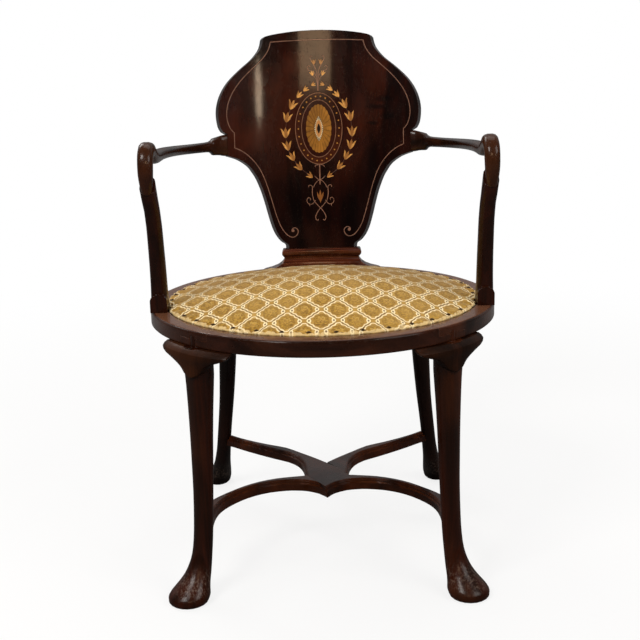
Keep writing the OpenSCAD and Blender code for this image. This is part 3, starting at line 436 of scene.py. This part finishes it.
paints.update({
    "leaf": inlay("leaf_satinwood", (226, 164, 84), (128, 76, 32), leaf_shade),
    "petal": inlay("petal_satinwood", (166, 110, 36), (88, 53, 17), petal_shade),
    "lozenge": inlay("lozenge_holly", (222, 202, 158), (34, 16, 11), pearl_shade, ((188, 122, 56), pearl_heart)),
    "dot": inlay("dot_satinwood", (184, 124, 46), (130, 80, 28)),
    "string": inlay("string_boxwood", (132, 96, 78), (84, 54, 42)),
    "stem": inlay("stem_boxwood", (142, 102, 80), (56, 30, 20), stem_shade),
    "patera_line": inlay("line_boxwood", (142, 98, 70), (94, 58, 40)),
    "eye": inlay("eye_ebony", (18, 10, 8), (8, 5, 4)),
})


def metal(name, tint, shade, rough):
    """Old metal with tarnish in patches and fine scratches."""
    p = Paint(name)
    patch = p.noise(260, detail=4, rough=0.65)
    tone = p.mix(patch.step(0.40, 0.66), srgb(*tint), srgb(*shade))
    ease, arris = p.eased_edges(0.0004)
    p.colour(p.mix(arris * 0.5, tone, brighter(tint, (1.3, 1.3, 1.3))))
    p.rough(patch.step(0.3, 0.7, rough - 0.1, rough + 0.2))
    p.set(Metallic=1.0)
    p.bump(p.noise((2400, 200, 900), detail=2), 0.00004, 0.5, ease)
    return p


paints["tack"] = metal("tack_blackened_iron", (92, 68, 42), (34, 24, 16), 0.34)
paints["screw"] = metal("screw_steel", (128, 122, 112), (70, 60, 50), 0.42)
paints["brass"] = metal("screw_brass", (176, 138, 70), (98, 70, 36), 0.38)

DRESS = {
    "rail_x": ("front_rail", "back_rail"), "rail_y": ("left_rail", "right_rail"),
    "leg": ("front_left_leg", "front_right_leg"), "leg_back_shaded": ("back_left_leg", "back_right_leg"),
    "knee": ("front_left_knee", "front_right_knee"),
    "stretch_l": ("stretcher_left",), "stretch_r": ("stretcher_right",), "brass": ("stretcher_screw",),
    "shoe": ("back_shoe",), "back": ("back_panel",), "veneer": ("face_veneer",), "string": ("stringing",),
    "patera_line": ("patera_lines",), "band": ("patera_band",), "dot": ("patera_dots",),
    "ground": ("patera_ground",), "petal": ("patera_petals",), "lozenge": ("patera_lozenge",),
    "eye": ("patera_eye",), "leaf": ("wreath_leaves",), "stem": ("wreath_stems",),
    "arm": ("left_arm", "right_arm"), "post": ("left_arm_post", "right_arm_post"),
    "dowel": ("arm_dowels",), "screw": ("post_screws", "shoe_screws"), "tack": ("cover_tacks",),
}
for key, names in DRESS.items():
    for name in names:
        nodes[name].data.materials.clear()
        nodes[name].data.materials.append(paints[key].mat)


# ---------- shading normals ----------
def pull(items, attribute, width=1, kind=float):
    """One attribute of many mesh elements as an array."""
    out = np.zeros(len(items) * width, kind)
    items.foreach_get(attribute, out)
    return out.reshape(-1, width) if width > 1 else out


def soften(o, limit):
    """Shading normals that run smoothly over the small faces of a carved piece, up to its arrises.

    Faces that meet in a point are averaged where they turn less than limit degrees. No vertex moves.
    """
    me = o.data
    corner_count, face_count = len(me.loops), len(me.polygons)
    start, total = pull(me.polygons, "loop_start", kind=int), pull(me.polygons, "loop_total", kind=int)
    normal, area = pull(me.polygons, "normal", 3), pull(me.polygons, "area")
    _, weld = np.unique(np.round(pull(me.vertices, "co", 3), 6), axis=0, return_inverse=True)
    point = weld.reshape(-1)[pull(me.loops, "vertex_index", kind=int)]
    face = np.zeros(corner_count, int)
    face[np.concatenate([np.arange(s, s + t) for s, t in zip(start, total)])] = np.repeat(np.arange(face_count), total)
    corners_at = {}
    for i in range(corner_count):
        corners_at.setdefault(point[i], []).append(i)
    cosine = math.cos(math.radians(limit))
    out = np.zeros((corner_count, 3))
    for corners in corners_at.values():
        index = np.array(corners)
        n = normal[face[index]]
        weight = np.sqrt(np.maximum(area[face[index]], 1e-12))
        out[index] = ((n @ n.T) > cosine) @ (n * weight[:, None])
    length = np.linalg.norm(out, axis=1)
    flat = length < 1e-12
    out[flat] = normal[face[flat]]
    length[flat] = 1
    out /= length[:, None]
    me.polygons.foreach_set("use_smooth", np.ones(face_count, bool))
    me.normals_split_custom_set(out.tolist())
    me.update()


SOFTENED = {
    38: DRESS["leg"] + DRESS["leg_back_shaded"],
    58: DRESS["arm"] + DRESS["post"],
    26: DRESS["knee"] + DRESS["stretch_l"] + DRESS["stretch_r"],
}
for limit, names in SOFTENED.items():
    for name in names:
        soften(nodes[name], limit)


# ---------- the stuffed seat ----------
def pad_top(r):
    return SEAT_Z + PAD_LIP + PAD_CROWN * (1 - np.minimum(r / PAD_R, 1) ** PAD_FALL)


def heading(x, y):
    """Distance from the seat's centre, and the direction's sine and cosine."""
    r = np.hypot(x, y)
    return r, x / np.maximum(r, TINY), y / np.maximum(r, TINY)


def pucker_phase(s, c):
    """Counts round the edge from the front, with a whole number at each tack."""
    return (np.degrees(np.arctan2(s, -c)) % 360) / 360 * PUCKERS - 0.5


def edge_radius(s, c):
    """How far the cover reaches from the seat's centre, up to the shoe and round the posts' feet."""
    r = COVER_R + SCALLOP * np.abs(np.sin(np.pi * pucker_phase(s, c))) ** 0.8
    r = np.minimum(r, -SHOE_BACK * c + np.sqrt((SHOE_BACK * c) ** 2 + SHOE_R ** 2 - SHOE_BACK ** 2))
    side = POST_X / np.maximum(np.abs(s), 1e-6)
    y = side * c
    notch = 0.25 * (1 + np.tanh((y - POST_FRONT) / POST_SOFT)) * (1 - np.tanh((y - POST_BACK) / POST_SOFT))
    return r - np.maximum(r - side, 0) * notch


def tack_places():
    """The CAD tacks: round the whole edge, except behind the shoe and beside the posts."""
    places = []
    post_x, post_front, post_back = NO_TACK_BESIDE
    for i in range(PUCKERS):
        a = 2 * math.pi * (i + 0.5) / PUCKERS
        x, y = TACK_R * math.sin(a), -TACK_R * math.cos(a)
        if y < NO_TACK_BEHIND and not (abs(x) > post_x and post_front < y < post_back):
            places.append((x, y))
    return np.array(places)


TACKS = tack_places()


def tack_distance(x, y):
    return np.hypot(x[:, None] - TACKS[None, :, 0], y[:, None] - TACKS[None, :, 1]).min(1)


def fold_noise(x, y):
    """Gentle unevenness of hand-laid horsehair."""
    return (0.45 * np.sin(31 * x + 9 * y + 0.7) * np.sin(27 * y - 6 * x + 1.9) + 0.35 * np.sin(53 * x - 38 * y + 2.2)
            + 0.3 * np.sin(71 * y + 17 * x + 4.1) * np.sin(64 * x + 0.4))


def dress_top(x, y, z):
    """Puckers: the cover is pulled down at each tack and puffs up between them."""
    r, s, c = heading(x, y)
    inside = edge_radius(s, c) - r
    phase = pucker_phase(s, c)
    puff = (0.5 - 0.5 * np.cos(2 * np.pi * phase)) * np.exp(-((inside - 0.009) / 0.010) ** 2)
    dip = (0.5 + 0.5 * np.cos(2 * np.pi * phase)) ** 3 * np.exp(-inside / 0.022)
    crease = np.sin(2 * np.pi * phase * 3 + 1.1 * np.sin(phase * 1.7)) * np.exp(-((inside - 0.004) / 0.006) ** 2)
    z = z + (PUFF * puff - DIP * dip + CREASE * crease) + FOLD * fold_noise(x, y) * np.clip(inside / 0.05, 0, 1)
    under_head = np.exp(-(tack_distance(x, y) / TACK_DENT[0]) ** 4)
    seat = pad_top(np.array([TACK_R]))[0] - TACK_DENT[1]
    return z * (1 - under_head) + seat * under_head


# the turned-under hem, ring by ring: in from the edge, height, share of the gathers
HEM = ((0.0021, 0.4130, 0.3), (0.0012, 0.4127, 0.7), (0.0004, 0.4121, 1.0), (0.0, 0.4112, 1.0), (0.0002, 0.4102, 1.0),
       (0.0008, 0.4093, 0.6), (0.0010, 0.4086, 0.2), (0.0016, HEM_UNDER, 0.0), (0.0066, HEM_UNDER, 0.0),
       (0.0072, REBATE_TOP, 0.0))
UNDERSIDE = (0.85, 0.6, 0.35, 0.12)      # rings of the flat underside, as shares of the last hem ring
GRID = 160                               # cells along a side of the top
TOP_INSET, EVEN_R = 0.0030, 0.2394       # the top ends this far in from the edge; radius of its even middle


def cushion_mesh():
    """A closed cushion: a square grid opened out to a disc, the hem, and the hessian underneath."""
    n = GRID
    side = np.linspace(-1, 1, n + 1)
    u, v = np.meshgrid(side, side, indexing="ij")
    big = np.maximum(np.abs(u), np.abs(v))
    length = np.sqrt(np.maximum(u * u + v * v, 1e-12))
    r, s, c = heading(u / length * big, v / length * big)
    reach = (edge_radius(s, c) - TOP_INSET) * r
    even = EVEN_R * r
    k = np.clip((r - 0.6) / 0.4, 0, 1)
    k = k * k * (3 - 2 * k)
    rad = even * (1 - k) + reach * k
    x, y = (rad * s).ravel(), (rad * c).ravel()
    verts = [np.stack([x, y, pad_top(np.hypot(x, y))], 1)]
    index = np.arange((n + 1) ** 2).reshape(n + 1, n + 1)
    faces = [(index[i, j], index[i + 1, j], index[i + 1, j + 1], index[i, j + 1]) for i in range(n) for j in range(n)]
    last = np.concatenate([index[:n, 0], index[n, :n], index[n:0:-1, n], index[0, n:0:-1]])
    m = len(last)
    _, s, c = heading(x[last], y[last])
    rim = edge_radius(s, c)
    phase = pucker_phase(s, c)
    gather = (0.00070 * np.sin(2 * np.pi * phase * 2 + 1.3 * np.sin(phase * 2.1))
              + 0.00055 * np.sin(2 * np.pi * phase * 4 + 0.9 + 2 * np.sin(phase * 1.3)))
    count = (n + 1) ** 2

    def ring(r, z):
        """One more ring of vertices, and the band of faces that joins it to the last one."""
        nonlocal last, count
        ids = np.arange(count, count + m)
        verts.append(np.stack([r * s, r * c, z], 1))
        faces.extend((last[(j + 1) % m], last[j], ids[j], ids[(j + 1) % m]) for j in range(m))
        last, count = ids, count + m
    for inset, height, part in HEM:
        ring(rim - inset + gather * part, np.full(m, height) + gather * 0.9 * part)
    top_and_hem = len(faces)
    for k in UNDERSIDE:
        ring((rim - HEM[-1][0]) * k, np.full(m, REBATE_TOP))
    verts.append(np.array([[0.0, 0.0, REBATE_TOP]]))
    faces += [(last[(j + 1) % m], last[j], count) for j in range(m)]
    me = bpy.data.meshes.new("cushion")
    me.from_pydata(np.concatenate(verts).tolist(), [], [tuple(int(i) for i in f) for f in faces])
    me.validate()
    slot = np.zeros(len(me.polygons), int)
    slot[top_and_hem:] = 1
    return me, (n + 1) ** 2, slot


mesh, top_count, material_slots = cushion_mesh()
cushion = bpy.data.objects.new("seat_cushion", mesh)
bpy.context.scene.collection.objects.link(cushion)


def write(me, co):
    me.vertices.foreach_set("co", co.ravel())
    me.update()


CLOTH_FRAMES = 20
LARGEST_MOVE, SIDEWAYS = 0.006, 0.6


def stuff(o, count):
    """The stuffing pushes the cover up against its tacks: a short cloth run with pressure, capped."""
    start = pull(o.data.vertices, "co", 3)
    r, s, c = heading(start[:, 0], start[:, 1])
    free = np.clip((edge_radius(s, c) - r - 0.004) / 0.012, 0, 1)
    free = np.minimum(free, np.clip((tack_distance(start[:, 0], start[:, 1]) - 0.004) / 0.010, 0, 1))
    free[count:] = 0
    pins = o.vertex_groups.new(name="pins")
    for i, w in enumerate(1 - free):
        if w > 0:
            pins.add([i], float(w), "REPLACE")
    cloth = o.modifiers.new("cloth", "CLOTH")
    st = cloth.settings
    st.quality = 6
    st.mass = 0.25
    st.tension_stiffness = st.compression_stiffness = 18
    st.shear_stiffness = 8
    st.bending_stiffness = 1.2
    st.vertex_group_mass = "pins"
    st.use_pressure = True
    st.uniform_pressure_force = 4
    st.effector_weights.gravity = 0
    cloth.point_cache.frame_start = 1
    cloth.point_cache.frame_end = CLOTH_FRAMES
    for f in range(1, CLOTH_FRAMES + 1):
        bpy.context.scene.frame_set(f)
    dg = bpy.context.evaluated_depsgraph_get()
    end = pull(o.evaluated_get(dg).to_mesh().vertices, "co", 3)
    o.evaluated_get(dg).to_mesh_clear()
    o.modifiers.remove(cloth)
    o.vertex_groups.clear()
    bpy.context.scene.frame_set(1)
    move = end - start
    length = np.linalg.norm(move, axis=1)
    move *= (np.minimum(length, LARGEST_MOVE) / np.maximum(length, 1e-12))[:, None]
    # the crown stays near the height that the CAD cushion has
    lift = np.clip(move[:, 2], -0.003, LARGEST_MOVE)
    target = start.copy()
    target[:, :2] += move[:, :2] * SIDEWAYS
    target[:, 2] += lift - 0.6 * lift[:count].max() * np.clip(free, 0, 1)
    write(o.data, target)


stuff(cushion, top_count)
co = pull(cushion.data.vertices, "co", 3)
top = np.arange(len(co)) < top_count
co[top, 2] = dress_top(co[top, 0], co[top, 1], co[top, 2])
co[:, 1] += SEAT_Y
write(cushion.data, co)
cushion.data.polygons.foreach_set("use_smooth", np.ones(len(cushion.data.polygons), bool))
cushion.data.polygons.foreach_set("material_index", material_slots)

REPEAT_X, REPEAT_Y = 0.0488, 0.0715      # one repeat of the trellis
RIB = 0.0011                             # spacing of the ground's ribs
LOBES = 8                                # of a medallion
CREAM, RING_CREAM = srgb(240, 220, 174), srgb(244, 226, 180)


def fabric():
    """Cut-pile trellis: gold medallions in a double cream lattice with small rings where the lines meet."""
    p = Paint("cushion_fabric")
    x, y, z = p.xyz()
    wx = (p.noise(22, detail=2) - 0.5) * 0.0022
    wy = (p.noise(19, detail=2, move=(4, 2, 1)) - 0.5) * 0.0026
    px, py = (x + 0.0012 + wx) / REPEAT_X, (y - SEAT_Y + 0.203 + wy) / REPEAT_Y
    # two grids of centres, and at each point the nearer one
    a1, b1 = (px + 0.5).fract() - 0.5, (py + 0.5).fract() - 0.5
    a2, b2 = px.fract() - 0.5, py.fract() - 0.5
    pick = (a1.abs() + b1.abs()).less(a2.abs() + b2.abs())
    a = a1 * pick + a2 * (1.0 - pick)
    b = b1 * pick + b2 * (1.0 - pick)
    aa, bb = a.abs(), b.abs()
    diamond = (aa + bb) * 2.0
    oval = ((aa * 2.35) ** 1.2 + (bb * 2.35) ** 1.2) ** (1 / 1.2)
    fray = p.noise(300, detail=2, rough=0.6, move=(3, 0, 0)) - 0.5
    wave = ((aa - bb) * 24.0).sin() * 0.042 + fray * 0.10
    cream = (oval + wave).band(0.865, 0.990, 0.018)
    seam = (diamond + wave * 0.35).step(0.925, 0.950) * bb.step(0.40, 0.45, 1.0, 0.0) * aa.step(0.42, 0.46, 1.0, 0.0)
    seam = seam * (((aa - bb) * 75.0).sin() * 0.6 + fray * 1.5 + 0.8).min(1.0).max(0.0)
    knot = radius((aa - 0.368) / 0.056, bb / 0.082) + fray * 0.25
    ring = knot.band(0.55, 1.15, 0.12)
    core = knot.step(0.40, 0.60, 1.0, 0.0)
    ma, mb = a / 0.245, b / 0.300
    lobe = mb.atan2(ma)
    med = radius(ma, mb) * (1.0 + (lobe * LOBES).sin() * 0.040) + fray * 0.16
    pile = med.step(0.93, 1.03, 1.0, 0.0)
    rim = med.band(0.80, 0.98, 0.06)
    arc = (med + (lobe * 5.0).sin() * 0.10 + fray * 0.3).band(0.36, 0.52, 0.06) * (b + a * 0.4).step(-0.10, 0.12)
    spray = (med + fray * 0.9).band(0.05, 0.22, 0.06)
    wearing = p.noise(14, detail=5, rough=0.62)
    rubbed = p.noise(7, detail=4, rough=0.6, move=(2, 8, 0))
    rubbed = (rubbed.step(0.42, 0.62) * 0.5 + (x + 0.10).abs().step(0.06, 0.17, 0.0, 0.30)).min(0.7)
    speck = p.noise(620, detail=2, rough=0.6)
    tuft = p.noise(290, rough=0.7, move=(0, 7, 0))
    ground = p.mix(wearing.step(0.3, 0.7), srgb(164, 124, 48), srgb(190, 150, 72))
    gold = p.mix(tuft.step(0.36, 0.66), srgb(114, 80, 16), srgb(184, 141, 48))
    for share, colour in ((rim * 0.45, (136, 98, 30)), (arc * 0.6, (206, 168, 86)),
                          (spray * 0.5, (204, 158, 74)), (rubbed * 0.5, (190, 152, 78))):
        gold = p.mix(share, gold, srgb(*colour))
    tone = p.mix(pile, ground, gold)
    tone = p.mix(cream * (1.0 - pile * 0.8) * 0.97, tone, CREAM)
    tone = p.mix(seam * 0.92, tone, srgb(84, 54, 26))
    tone = p.mix(ring * 0.95, tone, RING_CREAM)
    tone = p.mix(core * 0.85, tone, srgb(96, 62, 34))
    tone = p.dim(speck.step(0.2, 0.8, 0.88, 1.10), tone)
    # soil and painted shade gather where the cover turns under; the turned hem is paler, partly the cloth's own edge
    # and partly a painted highlight
    turn = x.atan2(SEAT_Y - y) * PUCKERS
    edge = radius(x, y - SEAT_Y) + (turn * 2.0).sin() * 0.0010 + (turn * 5.0 + 1.0).sin() * 0.0006 + fray * 0.0040
    turned = edge.step(0.2414, 0.2424) * z.step(0.4095, 0.4110)
    tone = p.mix(edge.band(0.2403, 0.2411, 0.0004) * 0.55, tone, srgb(118, 82, 42))
    # painted highlight: the turned hem lit pale, over the cloth's own paler edge
    tone = p.mix(turned * 0.55, tone, srgb(232, 208, 156))
    # painted shade under the hem
    tone = p.dim(z.step(0.4082, 0.4098, 0.6, 1.0), tone)
    # deeper, darker gold towards the back
    p.colour(p.mix(y.step(-0.12, 0.02) * 0.32, tone, srgb(134, 92, 26)))
    p.rough(pile * 0.08 + 0.86)
    p.set(Specular_IOR_Level=0.15, Sheen_Weight=0.10, Sheen_Roughness=0.5)
    rib = (x * (math.tau / RIB)).sin() * (y * (math.tau / RIB)).sin()
    height = pile * (tuft * 0.5 + 0.25) + cream * 0.30 + ring * 0.35 - core * 0.3 + speck * 0.25 + rib * 0.06
    p.bump(height, 0.0008, 0.6)
    return p


def hessian():
    """Coarse plain-woven jute."""
    thread_pitch = 0.0016
    p = Paint("hessian")
    x, y, _ = p.xyz()
    w = p.noise(60)
    u, v = (x + w * 0.001) / thread_pitch, (y + w * 0.0012) / thread_pitch
    over = (((u * 0.5).fract() - 0.5).less(0) - ((v * 0.5).fract() - 0.5).less(0)).abs()
    thread = (u * math.pi).sin().abs() * over + (v * math.pi).sin().abs() * (1.0 - over)
    tone = p.mix(thread.step(0.1, 0.9), srgb(98, 74, 46), srgb(188, 154, 106))
    p.colour(p.dim(w.step(0.3, 0.7, 0.8, 1.1), tone))
    p.rough(0.95)
    p.set(Specular_IOR_Level=0.15)
    p.bump(thread, 0.0005, 0.8)
    return p


def webbing():
    """Herringbone webbing with two dark stripes. Its UV holds metres along the strap, and 0..1 across."""
    p = Paint("jute_webbing")
    u, v, _ = p.xyz(p.tree.nodes.new("ShaderNodeUVMap").outputs[0])
    w = p.noise(140)
    zig = ((v * 16.0).fract() - 0.5).abs()
    twill = ((u * 400.0 + zig * 6.0) * math.pi).sin()
    stripe = ((v - 0.5).abs() - 0.36).abs().step(0.02, 0.045, 1.0, 0.0)
    tone = p.mix(w.step(0.3, 0.7), srgb(178, 148, 102), srgb(210, 182, 134))
    tone = p.mix(stripe * 0.85, tone, srgb(70, 44, 34))
    p.colour(p.dim(twill.step(-1, 1, 0.78, 1.08), tone))
    p.rough(0.92)
    p.set(Specular_IOR_Level=0.2)
    p.bump(twill, 0.0003, 0.7)
    return p


cushion.data.materials.append(fabric().mat)
cushion.data.materials.append(hessian().mat)
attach(cushion, "root")
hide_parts("seat_cover", "seat_stuffing")

STRAP_WIDTH, STRAP_PITCH, STRAP_THICK = 0.0500, 0.0778, 0.0009
STRAP_REACH = 0.2314                     # where the straps end on the rebate
STRAP_Z, STRAP_SWING, STRAP_LOWEST = 0.40896, 0.00046, 0.40806
STRAP_ROWS, STRAP_COLUMNS = 150, 7
STRAP_NUMBERS = range(-2, 3)             # five each way


def strap(verts, faces, uvs, axis, number):
    """One strap along X (axis 0) or Y (axis 1), over and under those that cross it."""
    n, m = STRAP_ROWS, STRAP_COLUMNS
    centre = number * STRAP_PITCH
    half = math.sqrt(STRAP_REACH ** 2 - (abs(centre) + STRAP_WIDTH / 2) ** 2)
    t = np.linspace(-half, half, n)
    level = np.zeros(n)
    for j in STRAP_NUMBERS:
        up = 1 if (number + j + axis) % 2 == 0 else -1
        level += up * np.exp(-((t - j * STRAP_PITCH) / 0.034) ** 4)
    mid = STRAP_Z + STRAP_SWING * level * np.clip((half - np.abs(t)) / 0.03, 0, 1)
    base = len(verts)
    for k in range(n):
        for q in range(m):
            across = q / (m - 1)
            e = (across - 0.5) * STRAP_WIDTH
            sag = -0.00012 * math.cos(math.pi * (across - 0.5))
            for side in (STRAP_THICK / 2, -STRAP_THICK / 2):
                x, y = (t[k], centre + e) if axis == 0 else (centre + e, t[k])
                verts.append((x, y + SEAT_Y, max(mid[k] + side + sag, STRAP_LOWEST)))
                uvs.append((t[k], across))

    def add(flip, *corners):
        """A face from corners (row, column, side). Straps along Y are mirrored, so theirs turn over."""
        f = [base + (k * m + q) * 2 + side for k, q, side in corners]
        faces.append(f if (axis == 0) != flip else f[::-1])
    for k in range(n - 1):
        for q in range(m - 1):
            add(False, (k, q, 0), (k + 1, q, 0), (k + 1, q + 1, 0), (k, q + 1, 0))
            add(False, (k, q + 1, 1), (k + 1, q + 1, 1), (k + 1, q, 1), (k, q, 1))
        for q, flip in ((0, False), (m - 1, True)):
            add(flip, (k, q, 1), (k + 1, q, 1), (k + 1, q, 0), (k, q, 0))
    for k, flip in ((0, True), (n - 1, False)):
        for q in range(m - 1):
            add(flip, (k, q, 1), (k, q + 1, 1), (k, q + 1, 0), (k, q, 0))


def straps():
    """Ten interlaced straps, tacked down on the rebate."""
    verts, faces, uvs = [], [], []
    for axis in (0, 1):
        for number in STRAP_NUMBERS:
            strap(verts, faces, uvs, axis, number)
    me = bpy.data.meshes.new("webbing_straps")
    me.from_pydata(verts, [], faces)
    index = pull(me.loops, "vertex_index", kind=int)
    me.uv_layers.new(name="strap").data.foreach_set("uv", np.array(uvs, np.float32)[index].ravel())
    me.polygons.foreach_set("use_smooth", np.ones(len(me.polygons), bool))
    o = bpy.data.objects.new("webbing_straps", me)
    bpy.context.scene.collection.objects.link(o)
    return o


web = straps()
web.data.materials.append(webbing().mat)
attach(web, "root")
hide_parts("seat_webbing")


# ---------- camera, fitted to the photograph ----------
FOCAL_PX, PICTURE_PX, SENSOR = 1158.5, 640, 36
EYE_POINT = (0.0074, -1.82448, 0.8136)
YAW, PITCH, ROLL = 0.38, 76.26, -1.45

scene = bpy.context.scene
cam_data = bpy.data.cameras.new("camera")
cam = bpy.data.objects.new("camera", cam_data)
scene.collection.objects.link(cam)
cam_data.sensor_width = SENSOR
cam_data.lens = FOCAL_PX * SENSOR / PICTURE_PX
cam_data.clip_end = 100
turn = Matrix.Identity(4)
for degrees, axis in ((YAW, "Z"), (PITCH, "X"), (ROLL, "Z")):
    turn = turn @ Matrix.Rotation(math.radians(degrees), 4, axis)
cam.matrix_world = Matrix.Translation(EYE_POINT) @ turn
scene.camera = cam


# ---------- floor, light ----------
FLOOR_R, FLOOR_SIDES = 40, 96


def disc(name, size, sides):
    around = [2 * math.pi * i / sides for i in range(sides)]
    me = bpy.data.meshes.new(name)
    me.from_pydata([(size * math.cos(a), size * math.sin(a), 0.0) for a in around], [], [list(range(sides))])
    o = bpy.data.objects.new(name, me)
    scene.collection.objects.link(o)
    return o


def plain_shader(tree, kind, colour):
    n = tree.nodes.new(kind)
    n.inputs["Color"].default_value = (*colour, 1)
    n.inputs["Strength"].default_value = 1.0
    return n.outputs[0]


def blend(tree, share, first, second):
    n = tree.nodes.new("ShaderNodeMixShader")
    tree.links.new(share.socket, n.inputs["Fac"])
    tree.links.new(first, n.inputs[1])
    tree.links.new(second, n.inputs[2])
    return n.outputs[0]


def rays(tree):
    """Camera rays together with transmission rays, the camera's alone, and glossy rays."""
    path = tree.nodes.new("ShaderNodeLightPath")
    camera = Val(tree, path.outputs["Is Camera Ray"])
    clear = Val(tree, path.outputs["Is Transmission Ray"])
    glossy = Val(tree, path.outputs["Is Glossy Ray"])
    return camera.max(clear), camera, glossy


def pale_floor():
    """White paper that keeps the chair's shadow and fades into the backdrop away from it."""
    m = bpy.data.materials.new("floor_pale")
    m.use_nodes = True
    t = m.node_tree
    t.nodes.clear()
    seen, camera, glossy = rays(t)
    paper = t.nodes.new("ShaderNodeBsdfDiffuse")
    t.links.new((camera * 0.72 + 0.14).socket, paper.inputs["Color"])
    spot = t.nodes.new("ShaderNodeTexCoord").outputs["Object"]
    depth = separate(t, spot)[1].step(-0.5, 1.5)
    far = t.nodes.new("ShaderNodeVectorMath")
    far.operation = "LENGTH"
    t.links.new(spot, far.inputs[0])
    backdrop = Val(t, far.outputs["Value"]).step(0.7, 2.2, 0.80, 1.0)
    share = (seen * backdrop).max(glossy * backdrop.step(0.8, 1.0, 0.0, 0.15) * depth)
    out = t.nodes.new("ShaderNodeOutputMaterial")
    white = plain_shader(t, "ShaderNodeEmission", (1, 1, 1))
    t.links.new(blend(t, share, paper.outputs[0], white), out.inputs["Surface"])
    return m


floor = disc("floor", FLOOR_R, FLOOR_SIDES)
floor.data.materials.append(pale_floor())


def studio():
    """White backdrop; the polish reflects a pale wall behind the chair and a dark room in front of it."""
    world = bpy.data.worlds.new("studio")
    scene.world = world
    world.use_nodes = True
    t = world.node_tree
    t.nodes.clear()
    seen, _, glossy = rays(t)
    _, y, z = separate(t, t.nodes.new("ShaderNodeTexCoord").outputs["Generated"])
    wall = y.step(-0.1, 0.75, 0.02, 0.40) * z.step(0.0, 0.32, 0.22, 1.0)
    white = plain_shader(t, "ShaderNodeBackground", (1, 1, 1))
    room = plain_shader(t, "ShaderNodeBackground", (0.46, 0.455, 0.445))
    dark = plain_shader(t, "ShaderNodeBackground", (0.03, 0.03, 0.03))
    out = t.nodes.new("ShaderNodeOutputWorld")
    t.links.new(blend(t, seen.max(glossy * wall), blend(t, glossy, room, dark), white), out.inputs["Surface"])


studio()


def lamp(name, place, target, size, power, colour=(1.0, 0.975, 0.94), shape="RECTANGLE"):
    d = bpy.data.lights.new(name, "AREA")
    d.shape = shape
    d.size, d.size_y = size
    d.energy = power
    d.color = colour
    o = bpy.data.objects.new(name, d)
    scene.collection.objects.link(o)
    o.location = place
    o.rotation_euler = (Vector(target) - Vector(place)).to_track_quat("-Z", "Y").to_euler()


lamp("key", (-1.7, -2.2, 2.9), (0, 0, 0.45), (1.3, 1.1), 66)
lamp("fill", (2.2, -1.8, 2.3), (0, 0, 0.45), (1.6, 1.4), 34)
lamp("top", (0.2, 0.9, 3.1), (0, 0, 0.4), (2.0, 1.4), 13)
lamp("rear", (-1.8, 2.3, 2.9), (0, 0.1, 0.5), (1.6, 1.2), 30)
# the two reflections on the hollowed back
lamp("window", (0.05, -3.0, 1.76), (0, 0.22, 0.72), (0.80, 0.46), 7.5, (1.0, 0.64, 0.37))
lamp("pane", (1.30, -2.45, 1.40), (-0.10, 0.20, 0.72), (0.16, 0.26), 1.8, (1.0, 0.75, 0.52), "ELLIPSE")

scene.view_settings.view_transform = "Standard"

bpy.context.view_layer.update()
